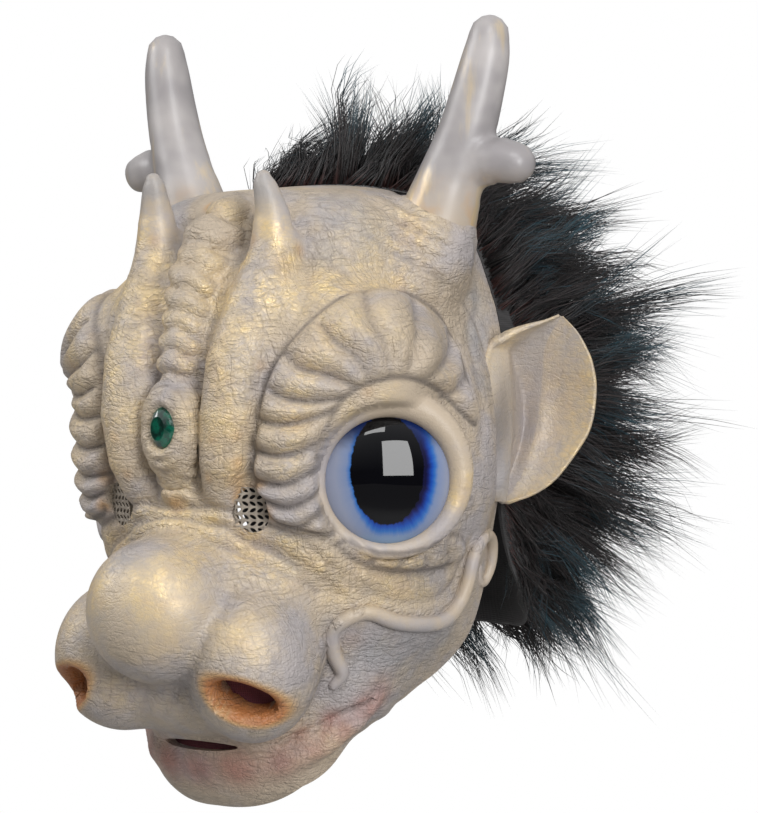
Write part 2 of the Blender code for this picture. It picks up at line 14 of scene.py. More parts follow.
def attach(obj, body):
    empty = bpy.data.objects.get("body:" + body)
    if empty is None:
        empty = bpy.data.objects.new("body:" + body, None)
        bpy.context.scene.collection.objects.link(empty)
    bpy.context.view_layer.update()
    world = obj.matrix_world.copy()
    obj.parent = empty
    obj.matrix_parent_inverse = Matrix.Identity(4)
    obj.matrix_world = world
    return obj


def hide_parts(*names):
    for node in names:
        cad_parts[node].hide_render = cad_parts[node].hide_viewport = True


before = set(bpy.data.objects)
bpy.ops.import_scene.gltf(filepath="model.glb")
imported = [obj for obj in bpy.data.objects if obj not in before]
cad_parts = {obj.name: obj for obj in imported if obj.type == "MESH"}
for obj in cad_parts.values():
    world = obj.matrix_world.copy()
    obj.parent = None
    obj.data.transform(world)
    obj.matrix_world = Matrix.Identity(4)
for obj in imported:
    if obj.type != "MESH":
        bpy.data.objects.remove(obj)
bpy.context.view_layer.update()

# The view. The mask is seen from its wearer's left front and very slightly from above, with
# a long lens. The nose's front point is at a known pixel, and one pixel there is SCALE wide.
SEAT = np.array([0.0, 0.0, 247.0])
VIEW_TURN, VIEW_TILT = radians(35), radians(2)
DISTANCE = 1800.0
SCALE = 0.578
NOSE_POINT, NOSE_PIXEL = np.array([0.0, -190.0, 0.0]), (162, 610)
PHOTO = (758, 813)
SENSOR = 36.0

rightward = np.array([cos(VIEW_TURN), sin(VIEW_TURN), 0.0])
towards = np.array([sin(VIEW_TURN) * cos(VIEW_TILT), -cos(VIEW_TURN) * cos(VIEW_TILT), sin(VIEW_TILT)])
upward = np.cross(towards, rightward)
aim_point = (NOSE_POINT + rightward * (PHOTO[0] / 2 - NOSE_PIXEL[0]) * SCALE
             + upward * (NOSE_PIXEL[1] - PHOTO[1] / 2) * SCALE)
eye_point = aim_point + towards * DISTANCE

lens = bpy.data.cameras.new("view")
lens.sensor_width = SENSOR
lens.lens = DISTANCE / SCALE / PHOTO[1] * SENSOR
lens.clip_end = 20
camera = bpy.data.objects.new("view", lens)
camera.location = Vector((eye_point - SEAT) / 1000)
camera.rotation_mode = 'QUATERNION'
camera.rotation_quaternion = Vector(-towards).to_track_quat('-Z', 'Y')
bpy.context.scene.collection.objects.link(camera)
bpy.context.scene.camera = camera

# The face skin. The real one is slush-cast latex about 3 mm thick, sculpted in clay first: a
# broad skull, heavy brow ridges with horns, a ball nose with two nostril wings, and a wide
# lip. Its form is lumps and tubes of clay blended into each other, cast as one hollow wall.
WALL = 3.0
HUB = np.array([0.0, 8.0, 95.0])
LUMPS = [
    # name        centre            radii            square pitch yaw blend
    ("cranium",   (0, 0, 112),      (108, 118, 134), 2.4, 0, 0, 10),
    ("crown",     (0, -45, 205),    (92, 82, 42),    3.2, 0, 0, 18),
    ("forehead",  (0, -70, 95),     (104, 102, 125), 3.1, 0, 0, 16),
    ("temple",    (48, -54, 84),    (77, 69, 84),    2.5, 0, 0, 14),
    ("brow",      (75, -112, 136),  (50, 46, 46),    2.2, 0, 35, 18),
    ("fan_pad",   (70, -146, 98),   (30, 23, 58),    2.2, 0, 45, 8),
    ("bridge",    (0, -134, 36),    (52, 50, 40),    2.3, 0, 0, 12),
    ("snout",     (0, -138, 4),     (72, 50, 38),    2.3, 0, 0, 12),
    ("muzzle",    (0, -112, -8),    (76, 82, 54),    2.3, 0, 0, 16),
    ("cheek",     (60, -62, 12),    (50, 68, 58),    2.3, 0, 0, 18),
    ("nose_ball", (0, -190, 0),     (44, 44, 43),    2.0, 0, 0, 5),
    ("mound",     (0, -167, 104),   (18, 23, 28),    2.4, 0, 0, 5),
    ("wing",      (47, -165, -31),  (38, 44, 45),    2.0, 0, 20, 6),
    ("upper_lip", (0, -146, -50),   (58, 42, 28),    2.2, 0, 0, 8),
    ("jaw",       (0, -100, -80),   (62, 58, 47),    2.3, 8, 0, 10),
    ("jaw_rear",  (48, -70, -34),   (40, 58, 40),    2.2, 24, 8, 14),
    ("neck",      (0, 14, 0),       (98, 92, 90),    2.6, 0, 0, 20),
]
RIDGE = [
    # x   y     z    radius
    (28, -166, 58, 12), (34, -171, 87, 17), (37, -171, 112, 19), (38, -165, 141, 20),
    (40, -150, 172, 20), (42, -140, 193, 18), (43, -137, 209, 15.5),
]
HORN = [
    (42, -140, 192, 14), (43, -138, 207, 15.2), (43, -140, 217, 13.4), (43, -141, 228, 10.6),
    (42, -144, 240, 8), (41, -146, 247, 6.4), (41, -147, 251, 4.4),
]
LOWER_LIP = [
    (0, -148, -92, 9), (24, -145, -93, 9), (46, -134, -90, 8), (64, -117, -81, 7),
    (76, -102, -68, 6), (83, -93, -57, 4),
]
LIP_LINE = [
    (0, -154, -81, 3.4), (24, -151, -82, 3.2), (44, -140, -80, 2.8), (62, -122, -73, 2.6),
    (75, -106, -61, 2.6), (82, -96, -56, 2.0),
]
BAND = [
    (0, -163, 122, 15), (0, -164, 142, 15), (0, -160, 165, 15.5), (0, -152, 187, 15.5),
    (0, -140, 206, 15), (0, -124, 222, 13), (0, -112, 231, 9),
]
PEDICLE = [(76, -50, 188, 28), (84, -46, 206, 27.5), (90, -43, 222, 25)]
EYE = np.array([104.0, -112.0, 75.0])
EYE_AXIS = np.array([sin(radians(45)), -cos(radians(45)), 0.0])
EYE_ACROSS = np.array([cos(radians(45)), sin(radians(45)), 0.0])
EYE_RADIUS = 38.0
LID = [
    # angle from the temple side, radius of the lid's roll
    (0, 7.0), (45, 8.5), (90, 9.5), (120, 8.0), (150, 5.5), (180, 4.5), (225, 4.5), (270, 4.5),
    (315, 5.5), (360, 7.0),
]
GEM = np.array([0.0, -189.0, 105.0])
GEM_SIZE = (9.0, 12.5, 5.0)
NOSTRIL = np.array([61.0, -190.0, -46.0])
NOSTRIL_AXIS = np.array([0.42, -0.86, -0.28]) / np.linalg.norm([0.42, -0.86, -0.28])
NOSTRIL_SIZE = (18.5, 10.0)
NOSTRIL_ROLL = radians(-24)
COLUMN = [
    # height, half width, stands out, half height of each plate down the middle of the brow
    (65, 12, 6, 3.8), (71.5, 13, 7, 3.8), (78, 14, 7, 3.8), (84.5, 15, 7, 3.8), (131, 13, 4.5, 6.1),
    (143, 13.5, 4.5, 6.1), (155, 14, 5, 6.1), (167, 14.5, 5, 6.1), (179, 15.5, 5.5, 6.3),
    (191.5, 16, 6, 6.5), (204.5, 16, 6.5, 6.8), (218, 15, 7, 8), (232, 12, 6.5, 8),
]


def smooth_min(a, b, k):
    """The smaller of two distances, with a fillet of about k where they cross."""
    h = np.clip(0.5 + 0.5 * (b - a) / k, 0, 1)
    return b * (1 - h) + a * h - k * h * (1 - h)


def lump_field(p, rows):
    """Distance to the lumps, blended."""
    d = None
    for name, centre, radii, n, pitch, yaw, blend in rows:
        r = np.array(radii, float)
        tilt = Matrix.Rotation(radians(yaw), 3, 'Z') @ Matrix.Rotation(radians(pitch), 3, 'X')
        a = np.abs((p - np.array(centre, float)) @ np.array(tilt) / r) + 1e-9
        s = (a ** n).sum(-1)
        slope = (a ** (n - 1)) * (s ** (1 / n - 1))[..., None] / r
        e = (s ** (1 / n) - 1) / (np.linalg.norm(slope, axis=-1) + 1e-12)
        d = e if d is None else smooth_min(d, e, blend)
    return d


def tube_field(p, rows):
    """Distance to a tapered tube along the nodes."""
    best = None
    for a, b in zip(rows[:-1], rows[1:]):
        a, b = np.array(a, float), np.array(b, float)
        ab = b[:3] - a[:3]
        t = np.clip(((p - a[:3]) @ ab) / (ab @ ab), 0, 1)
        e = np.linalg.norm(p - a[:3] - t[..., None] * ab, axis=-1) - (a[3] + t * (b[3] - a[3]))
        best = e if best is None else np.minimum(best, e)
    return best


def folded(p):
    """The same point on the wearer's left, because the head is alike on both sides."""
    q = np.array(p, float)
    q[..., 0] = np.abs(q[..., 0])
    return q


def eye_frame(p):
    q = p - EYE
    return q @ EYE_ACROSS, q[..., 2], q @ EYE_AXIS


def lid_roll(a, b):
    """Radius of the lid's roll on the side of the eye where a point lies."""
    return np.interp(np.degrees(np.arctan2(b, a)) % 360, [r[0] for r in LID], [r[1] for r in LID])


def nostril_frame(p):
    across = np.cross((0, 0, 1.0), NOSTRIL_AXIS)
    across /= np.linalg.norm(across)
    over = np.cross(NOSTRIL_AXIS, across)
    q = p - NOSTRIL
    a, b = q @ across, q @ over
    c, s = cos(NOSTRIL_ROLL), sin(NOSTRIL_ROLL)
    return a * c + b * s, b * c - a * s, q @ NOSTRIL_AXIS


def skin_field(p):
    """Distance to the clay face."""
    p = folded(p)
    d = lump_field(p, LUMPS)
    d = smooth_min(d, tube_field(p, PEDICLE), 12)
    d = smooth_min(d, tube_field(p, BAND), 3)
    d = smooth_min(d, tube_field(p, RIDGE), 4)
    a, b, w = eye_frame(p)
    socket = np.maximum(np.hypot(a, b) - EYE_RADIUS - 6, -6 - w)
    d = -smooth_min(-d, socket, 6)
    roll = lid_roll(a, b)
    lid = np.hypot(np.hypot(a, b) - EYE_RADIUS - roll + 1.5, w - 1.0) - roll
    d = smooth_min(d, lid, 3)
    d = smooth_min(d, tube_field(p, LOWER_LIP), 5)
    d = -smooth_min(-d, tube_field(p, LIP_LINE), 3)
    a, b, w = nostril_frame(p)
    funnel = (np.sqrt((a / NOSTRIL_SIZE[0]) ** 2 + (b / NOSTRIL_SIZE[1]) ** 2) - 1) * NOSTRIL_SIZE[1]
    funnel = np.maximum(funnel - 0.12 * w, -15 - w)
    return -smooth_min(-d, funnel, 6)


def directions(u, v):
    return np.stack([np.sin(v), -np.cos(v) * np.cos(u), np.cos(v) * np.sin(u)], -1)


def reach_of(field, way, start, steps):
    """How far the surface lies from the hub along each direction, walking inwards."""
    r = np.broadcast_to(np.asarray(start, float), way.shape[:-1]).copy()
    for _ in range(steps):
        r = r - np.clip(field(HUB + way * r[..., None]), -6, 60) * 0.7
    return r


EDGE = [
    # side angle, chin edge, crown edge, nape hem
    (0, -56, 72.4, 232), (12, -57, 72.6, 233), (20, -63, 75, 235), (30, -72, 83, 240),
    (40, -78, 89, 246), (50, -82, 91, 254), (65, -86, 91, 262), (89, -89, 90, 268),
]
CROWD = [
    # place from chin to crown, how close the rows lie
    (0, 1.0), (0.08, 1.7), (0.3, 1.9), (0.45, 1.5), (0.75, 1.1), (1, 0.8),
]
SIDE = 89.2


def edge_angle(v, column):
    return np.interp(np.abs(np.degrees(v)), [r[0] for r in EDGE], [r[column] for r in EDGE])


def lattice(share_up, share_across, low, high, bunch, gap=0.0):
    """Angles round the head for shares from 0 to 1; bunch gathers columns in the middle."""
    v = 2 * share_across - 1
    v = np.radians(SIDE * (v + bunch * np.sin(pi * v) / pi))
    if bunch:
        fine = np.linspace(0, 1, 400)
        run = np.cumsum(np.interp(fine, [c[0] for c in CROWD], [c[1] for c in CROWD]))
        share_up = np.interp(share_up, (run - run[0]) / (run[-1] - run[0]), fine)
    lo, hi = edge_angle(v, low) + gap, edge_angle(v, high)
    return np.radians(lo + (hi - lo) * share_up), v


def finer(grid, n, m):
    """A grid read at n rows and m columns between its own points."""
    rows = np.linspace(0, grid.shape[0] - 1, n)
    columns = np.linspace(0, grid.shape[1] - 1, m)
    wide = np.array([np.interp(columns, np.arange(grid.shape[1]), line) for line in grid])
    return np.array([np.interp(rows, np.arange(grid.shape[0]), line) for line in wide.T]).T


def along_curve(points, steps):
    """A smooth curve through the points, with some steps between each pair."""
    p = np.array(points, float)
    p = np.concatenate([[2 * p[0] - p[1]], p, [2 * p[-1] - p[-2]]])
    t = (np.arange(steps) / steps)[:, None]
    runs = [0.5 * (2 * b + (c - a) * t + (2 * a - 5 * b + 4 * c - d) * t ** 2
                   + (3 * b - a - 3 * c + d) * t ** 3)
            for a, b, c, d in zip(p[:-3], p[1:-2], p[2:-1], p[3:])]
    return np.concatenate(runs + [p[-2:-1]])


def spot(pixels):
    """Where lines of sight through photo pixels meet the clay."""
    pixels = np.array(pixels, float).reshape(-1, 2)
    ray = ((pixels[:, :1] - PHOTO[0] / 2) * SCALE * rightward
           + (PHOTO[1] / 2 - pixels[:, 1:]) * SCALE * upward - DISTANCE * towards)
    ray /= np.linalg.norm(ray, axis=1)[:, None]
    run = np.full(len(pixels), 1450.0)
    for _ in range(90):
        run = np.minimum(run + np.clip(skin_field(eye_point + ray * run[:, None]), -3, 60) * 0.75, 2100)
    return eye_point + ray * run[:, None]


def pixel_of(p):
    q = p - eye_point
    deep = -(q @ towards)
    return (PHOTO[0] / 2 + (q @ rightward) / deep * DISTANCE / SCALE,
            PHOTO[1] / 2 - (q @ upward) / deep * DISTANCE / SCALE)


def line_distance(p, nodes, reach):
    """Distance from points to a line of nodes; beyond the reach it is only large."""
    d = np.full(len(p), 99.0)
    near = np.flatnonzero(((p > nodes.min(0) - reach) & (p < nodes.max(0) + reach)).all(1))
    q = p[near]
    best = np.full(len(near), 99.0)
    for a, b in zip(nodes[:-1], nodes[1:]):
        ab = b - a
        t = np.clip(((q - a) @ ab) / (ab @ ab + 1e-9), 0, 1)
        best = np.minimum(best, np.linalg.norm(q - a - t[:, None] * ab, axis=1))
    d[near] = best
    return d


# Folds of the near side, traced over the photo, and mirrored to the far side. Inside
# an outline the skin swells between its folds; other folds are pressed into it.
FAN_OUTLINE = [
    (262, 500), (256, 484), (254, 455), (256, 423), (261, 398), (268, 378), (283, 351), (311, 321),
    (342, 298), (372, 290), (409, 296), (434, 311), (448, 331), (462, 362), (470, 394), (476, 425),
    (460, 412), (434, 388), (401, 377), (364, 385), (342, 400), (328, 425), (318, 445), (314, 480),
    (320, 505), (336, 534), (300, 530), (276, 522),
]
FAN_FOLDS = [
    [(363, 292), (368, 321), (383, 345), (389, 376)], [(409, 300), (413, 327), (411, 351), (402, 376)],
    [(321, 325), (336, 343), (356, 357), (368, 380)], [(285, 351), (299, 368), (330, 376), (358, 388)],
    [(272, 392), (291, 400), (321, 401), (343, 397)], [(262, 421), (281, 425), (311, 419), (334, 409)],
    [(259, 451), (277, 456), (301, 451), (323, 439)], [(258, 480), (281, 485), (301, 478), (320, 464)],
    [(262, 498), (285, 507), (307, 500), (320, 487)], [(279, 523), (297, 527), (311, 519), (323, 506)],
    [(446, 333), (446, 355), (434, 370), (420, 381)], [(460, 362), (462, 378), (454, 390), (438, 398)],
]
POUCH_OUTLINE = [
    (338, 543), (348, 540), (372, 550), (402, 553), (430, 546), (450, 534), (464, 540), (462, 556),
    (446, 566), (413, 571), (385, 569), (360, 560),
]
POUCH_FOLDS = [
    [(377, 551), (372, 565)], [(402, 553), (398, 571)], [(425, 549), (425, 571)],
    [(444, 540), (448, 566)],
]
FOLDS = [
    # depth, width, pixels along it
    (2.2, 3.0, [(115, 552), (133, 537), (146, 521), (160, 511), (176, 508), (203, 506), (219, 511),
                (242, 514), (267, 526), (292, 537), (320, 539), (336, 548)]),
    (2.0, 3.0, [(141, 534), (155, 521), (168, 517), (186, 518), (204, 524), (226, 528), (242, 539),
                (267, 547), (292, 562), (320, 579), (340, 596)]),
    (1.8, 2.6, [(138, 542), (150, 533), (170, 530), (193, 534), (209, 544), (234, 551), (259, 562),
                (292, 577), (320, 594)]),
    (1.6, 2.2, [(250, 519), (275, 528), (299, 537), (317, 553), (336, 572), (364, 595)]),
    (1.4, 2.2, [(250, 545), (275, 555), (301, 574), (321, 592)]),
    (2.0, 3.0, [(338, 548), (360, 566), (385, 573), (413, 575), (446, 570), (466, 560), (472, 540)]),
    (1.6, 3.5, [(352, 574), (372, 592), (400, 602), (432, 600), (452, 586), (460, 568)]),
    (1.2, 2.2, [(366, 232), (386, 250), (409, 264), (436, 276), (462, 282)]),
    (2.0, 3.2, [(306, 257), (308, 292), (291, 326), (272, 361), (262, 392), (257, 420), (254, 450),
                (251, 473), (241, 496), (236, 516)]),
    (1.6, 4.0, [(480, 310), (470, 330), (478, 372), (484, 410), (482, 450)]),
    (1.2, 2.6, [(430, 276), (452, 290), (474, 318), (486, 352)]),
    (1.6, 2.2, [(365, 704), (382, 700), (396, 706), (402, 722)]),
    (1.2, 2.0, [(352, 716), (372, 722), (392, 738)]),
    (1.9, 2.4, [(372, 216), (388, 230), (410, 246), (436, 260)]),
    (2.2, 2.6, [(379, 205), (396, 219), (419, 235), (446, 247)]),
    (2.2, 2.4, [(386, 196), (406, 209), (431, 223), (455, 233)]),
    (1.8, 2.2, [(394, 188), (416, 199), (440, 211), (462, 220)]),
    (1.0, 2.0, [(336, 728), (352, 740), (362, 756)]),
]
WRINKLES = [
    # short presses in the skin of the cheek, brow and lip: first pixel, last pixel, how many
    ((368, 574), (452, 574), (362, 596), (448, 592), 15),
    ((468, 486), (476, 506), (456, 492), (462, 512), 4),
    ((200, 766), (345, 716), (208, 792), (362, 738), 13),
]


def fold_depth(p, push, width, sharp=0.8):
    """How deep a fold's press is at a distance: a rounded notch."""
    return push * np.exp(-(np.sqrt(p ** 2 + sharp ** 2) - sharp) / width)


def softened(grid):
    """A grid with each value averaged a little with its neighbours."""
    pad = np.pad(grid, 1, mode='edge')
    rows = (pad[:-2] + 2 * pad[1:-1] + pad[2:]) / 4
    return (rows[:, :-2] + 2 * rows[:, 1:-1] + rows[:, 2:]) / 4


def inside(outline, x, y):
    """Whether pixels lie inside an outline."""
    hit = np.zeros(len(x), bool)
    for (ax, ay), (bx, by) in zip(outline, outline[1:] + outline[:1]):
        crosses = (ay > y) != (by > y)
        hit ^= crosses & (x < (bx - ax) * (y - ay) / (by - ay + 1e-9) + ax)
    return hit


def sculpt(p):
    """The skin's relief above the clay, and how deep in a fold each point is."""
    flat = p.reshape(-1, 3)
    q = folded(flat)
    x, z = q[:, 0], q[:, 2]
    a, b, w = eye_frame(q)
    rho = np.hypot(a, b)
    lid = EYE_RADIUS + 1.75 * lid_roll(a, b)
    px, py = pixel_of(q)
    out = np.zeros(len(flat))
    fold = np.zeros(len(flat))
    for outline, folds, high, width, reach in ((FAN_OUTLINE, FAN_FOLDS, 8.0, 4.0, 110),
                                               (POUCH_OUTLINE, POUCH_FOLDS, 5.0, 2.6, 70)):
        lines = [spot(along_curve(f, 5)) for f in folds + [outline + outline[:1]]]
        d = np.min([line_distance(q, nodes, 22) for nodes in lines], axis=0)
        swell = 1 - np.exp(-(np.sqrt(d ** 2 + 0.3) - 0.55) / width)
        swell *= inside(outline, px, py) * (rho < reach) * (w > -70) * np.clip((rho - lid) / 3, 0, 1)
        out = np.maximum(out, high * swell)
        fold = np.maximum(fold, fold_depth(d, 1.0, 0.9) * (rho < reach) * (w > -70))
    front = (flat[:, 1] < -60)
    for height, half, high, tall in COLUMN:
        slope = 0.42 * flat[:, 0] * np.clip((height - 125) / 30, 0, 1) * (0.6 + 0.4 * sin(height))
        slope += 1.3 * np.sin(0.4 * flat[:, 0] + height)
        e = 1 - np.abs(x / half) ** 3 - np.abs((z - height + 0.01 * x * x + slope) / tall) ** 2.6
        out = np.maximum(out, (1.15 + 0.2 * sin(height * 3)) * high * np.clip(e, 0, 1) ** 0.5 * front)
        fold = np.maximum(fold, np.exp(-(e / 0.16) ** 2) * 0.8 * (flat[:, 1] < -90) * (x < half + 2))
    ring = np.hypot(x / GEM_SIZE[0], (z - GEM[2]) / GEM_SIZE[1])
    collar = (ring - 1) * 11.5
    for distance, half, high in ((2.0, 2.0, 6.0), (6.4, 2.5, 6.4), (11.4, 2.6, 5.4)):
        e = 1 - ((collar - distance) / half) ** 2
        near_stone = (flat[:, 1] < -120) & (np.abs(z - GEM[2]) < 26)
        out = np.where(near_stone & (collar < 13.6) & (e > 0), high * np.sqrt(np.clip(e, 0, 1)), out)
        fold = np.maximum(fold, np.exp(-((collar - distance - half) / 0.7) ** 2) * 0.8 * near_stone)
    foot, top = np.array(PEDICLE[0][:3], float), np.array(PEDICLE[2][:3], float)
    axis = (top - foot) / np.linalg.norm(top - foot)
    offset = q - foot
    height = offset @ axis
    round_axis = np.arctan2(offset @ np.cross(axis, (0, 1.0, 0)), offset[:, 1] - height * axis[1])
    turn_of = (height + 2.2 * np.sin(2 * round_axis + 0.6) + 1.2 * np.sin(5 * round_axis)) / 8.5
    sleeve = np.clip(1.2 - np.abs(tube_field(q, PEDICLE)) / 15, 0, 1) * np.clip((z - 172) / 14, 0, 1)
    sleeve *= np.clip((44 - height) / 5, 0, 1)
    lobe = 1 - np.abs(2 * (turn_of % 1) - 1) ** 2.4
    out = np.maximum(out, 4.6 * np.sqrt(np.clip(lobe, 0, 1)) * sleeve)
    fold = np.maximum(fold, np.exp(-(lobe / 0.22) ** 2) * np.clip(sleeve * 1.6, 0, 1) * 0.8)
    press = np.zeros(len(flat))
    for depth, width, line in FOLDS:
        d = line_distance(q, spot(along_curve(line, 4)), 20)
        press = np.maximum(press, fold_depth(d, 1.4 * depth, width))
        fold = np.maximum(fold, fold_depth(d, 0.65, 0.8))
    for first, last, first_end, last_end, count in WRINKLES:
        for t in np.linspace(0, 1, count):
            ends = [np.add(np.multiply(first, 1 - t), np.multiply(last, t)),
                    np.add(np.multiply(first_end, 1 - t), np.multiply(last_end, t))]
            d = line_distance(q, spot(along_curve(ends, 3)), 10)
            press = np.maximum(press, fold_depth(d, 0.9, 1.1))
            fold = np.maximum(fold, 0.6 * fold_depth(d, 1.0, 0.8))
    shape = p.shape[:-1]
    return (out - press).reshape(shape), fold.reshape(shape)


ROWS, COLUMNS = 312, 244
STEP = 4
up_share, across_share = np.meshgrid(np.linspace(0, 1, ROWS + 1), np.linspace(0, 1, COLUMNS + 1),
                                     indexing='ij')
way = directions(*lattice(up_share, across_share, 1, 2, -0.3))
coarse = reach_of(skin_field, way[::6, ::4], 330, 60)
reach = reach_of(skin_field, way, finer(coarse, ROWS + 1, COLUMNS + 1) + 2, 16)
clay = HUB + way * reach[..., None]
relief, fold_mark = (softened(grid) for grid in sculpt(clay))
fold_mark = np.clip(1.3 * fold_mark, 0, 1)


def normals_of(grid):
    n = np.cross(np.gradient(grid, axis=1), np.gradient(grid, axis=0))
    n /= np.linalg.norm(n, axis=-1, keepdims=True) + 1e-9
    return n * np.sign((n * (grid - HUB)).sum(-1, keepdims=True))


skin_outer = clay + normals_of(clay) * relief[..., None]


def lowest_near(grid, step):
    """Smallest value near every step-th point."""
    pad = np.pad(grid, step, mode='edge')
    n, m = grid.shape
    spans = range(0, 2 * step + 1)
    return np.min([pad[i:i + n, j:j + m] for i in spans for j in spans], axis=0)[::step, ::step]


outer_reach = np.linalg.norm(skin_outer - HUB, axis=-1)
deep = reach_of(lambda p: skin_field(p) + WALL, way[::STEP, ::STEP], reach[::STEP, ::STEP] + 2, 16)
inner_reach = np.minimum(deep, lowest_near(outer_reach, STEP) - 0.7 * WALL)
skin_inner = HUB + way[::STEP, ::STEP] * inner_reach[..., None]


def metres(p):
    return (np.asarray(p, float) - SEAT) / 1000


def lay_grid(body, points):
    """A grid in the bmesh whose corners are put at the points, row by row."""
    n, m = points.shape[:2]
    made = bmesh.ops.create_grid(body, x_segments=m - 1, y_segments=n - 1, size=0.5)["verts"]
    place = metres(points).reshape(-1, 3)
    for vert in made:
        column = round((vert.co.x + 0.5) * (m - 1))
        row = round((vert.co.y + 0.5) * (n - 1))
        vert.co = place[row * m + column]


def shell_body(outer, inner):
    """Two grids, one inside the other, joined round their rims to a closed wall."""
    body = bmesh.new()
    lay_grid(body, outer)
    lay_grid(body, inner)
    rims = [edge for edge in body.edges if edge.is_boundary]
    bmesh.ops.bridge_loops(body, edges=rims)
    bmesh.ops.triangulate(body, faces=[f for f in body.faces if len(f.verts) > 4])
    bmesh.ops.recalc_face_normals(body, faces=body.faces)
    return body


def finished(name, body, smooth=None):
    """A bmesh made an object at the origin, shaded smooth up to an angle."""
    mesh = bpy.data.meshes.new(name)
    body.to_mesh(mesh)
    body.free()
    mesh.shade_smooth()
    if smooth:
        mesh.set_sharp_from_angle(angle=radians(smooth))
    piece = bpy.data.objects.new(name, mesh)
    bpy.context.scene.collection.objects.link(piece)
    return piece


def cut(piece, body, operation):
    """The piece with another body cut away or joined."""
    tool = finished("tool", body)
    mod = piece.modifiers.new("cut", 'BOOLEAN')
    mod.operation, mod.solver, mod.object = operation, 'MANIFOLD', tool
    graph = bpy.context.evaluated_depsgraph_get()
    graph.update()
    mesh = bpy.data.meshes.new_from_object(piece.evaluated_get(graph))
    piece.modifiers.clear()
    piece.data = mesh
    bpy.data.objects.remove(tool)


def tube_body(rows, steps, sides, blunt=0.75):
    """A round tapered tube through the nodes, each with a radius, with rounded ends."""
    path = along_curve(rows, steps)
    body = bmesh.new()
    tips = []
    for end, way_in in ((path[0], path[1]), (path[-1], path[-2])):
        out = (end[:3] - way_in[:3]) / np.linalg.norm(end[:3] - way_in[:3])
        tips.append([np.append(end[:3] + out * end[3] * blunt * sin(t), end[3] * cos(t))
                     for t in np.radians([30, 60, 80])])
    path = np.array(tips[0][::-1] + list(path) + tips[1])
    normal = np.array([1.0, 0.3, 0.0])
    rings = []
    for i, node in enumerate(path):
        after, before = path[min(i + 1, len(path) - 1)][:3], path[max(i - 1, 0)][:3]
        run = (after - before) / np.linalg.norm(after - before)
        normal = normal - (normal @ run) * run
        normal /= np.linalg.norm(normal)
        ring = bmesh.ops.create_circle(body, segments=sides, radius=1.0)["verts"]
        for vert in ring:
            place = node[:3] + node[3] * (vert.co.x * normal + vert.co.y * np.cross(run, normal))
            vert.co = metres(place)
        rings.append(list({e for v in ring for e in v.link_edges}))
    bmesh.ops.contextual_create(body, geom=rings[0])
    bmesh.ops.contextual_create(body, geom=rings[-1])
    for one, other in zip(rings[:-1], rings[1:]):
        bmesh.ops.bridge_loops(body, edges=one + other)
    bmesh.ops.recalc_face_normals(body, faces=body.faces)
    return body


def mirrored(body):
    bmesh.ops.scale(body, vec=(-1, 1, 1), verts=body.verts)
    bmesh.ops.reverse_faces(body, faces=body.faces)
    return body


SIDES = (("left", lambda body: body), ("right", mirrored))


def plug_body(centre, axis, rings, sides, roll=0.0):
    """Elliptical rings along an axis joined to a solid: half width, half height, place."""
    across = np.cross((0, 0, 1.0), axis)
    across /= np.linalg.norm(across)
    over = np.cross(axis, across)
    across, over = cos(roll) * across + sin(roll) * over, cos(roll) * over - sin(roll) * across
    body = bmesh.new()
    loops = []
    for wide, tall, place in rings:
        ring = bmesh.ops.create_circle(body, segments=sides, radius=1.0)["verts"]
        for vert in ring:
            vert.co = metres(centre + wide * vert.co.x * across + tall * vert.co.y * over + place * axis)
        loops.append(list({e for v in ring for e in v.link_edges}))
    bmesh.ops.contextual_create(body, geom=loops[0])
    bmesh.ops.contextual_create(body, geom=loops[-1])
    for one, other in zip(loops[:-1], loops[1:]):
        bmesh.ops.bridge_loops(body, edges=one + other)
    bmesh.ops.recalc_face_normals(body, faces=body.faces)
    return body


WHISKER = [
    (72, -121, -46, 3.0), (77, -119, -38, 4.2), (76, -126, -26, 4.6), (79, -131, -13, 4.6),
    (87, -127, -5, 4.6), (95, -117, -2, 4.6), (102, -102, -8, 4.6), (107, -84, -11, 4.6),
    (109, -62, -11, 4.6), (110, -47, -3, 4.6), (113, -41, 10, 4.4), (115, -38, 24, 4.2),
    (115, -30, 34, 4.0), (110, -14, 37, 3.8), (106, -3, 31, 3.6), (103, 0, 18, 3.4),
    (102, -6, 8, 3.0), (103, -14, 10, 2.6), (105, -16, 18, 2.2),
]
MESH_AT = np.array([47.0, -163.0, 59.0])
MESH_AXIS = np.array([sin(radians(24)), -cos(radians(24)), -0.12])
MESH_AXIS /= np.linalg.norm(MESH_AXIS)
MESH_SIZE = (10.5, 13.0)
MOUTH = np.array([0.0, -146.0, -82.0])

face_skin = finished("face_skin", shell_body(skin_outer, skin_inner))
for side, maker in SIDES:
    cut(face_skin, maker(tube_body(HORN, 4, 28)), 'UNION')
    cut(face_skin, maker(tube_body(WHISKER, 5, 16)), 'UNION')
    a, b = MESH_SIZE
    cut(face_skin, maker(plug_body(MESH_AT, MESH_AXIS, [(a, b, -14), (a, b, 25)], 40)), 'DIFFERENCE')
    a, b = NOSTRIL_SIZE
    hole = [(a * 0.9, b * 0.9, -30), (a * 0.9, b * 0.9, 8)]
    cut(face_skin, maker(plug_body(NOSTRIL, NOSTRIL_AXIS, hole, 40, NOSTRIL_ROLL)), 'DIFFERENCE')
cut(face_skin, plug_body(MOUTH, np.array([0, -1.0, 0]), [(26, 2.8, -14), (28, 3.2, 30)], 40), 'DIFFERENCE')

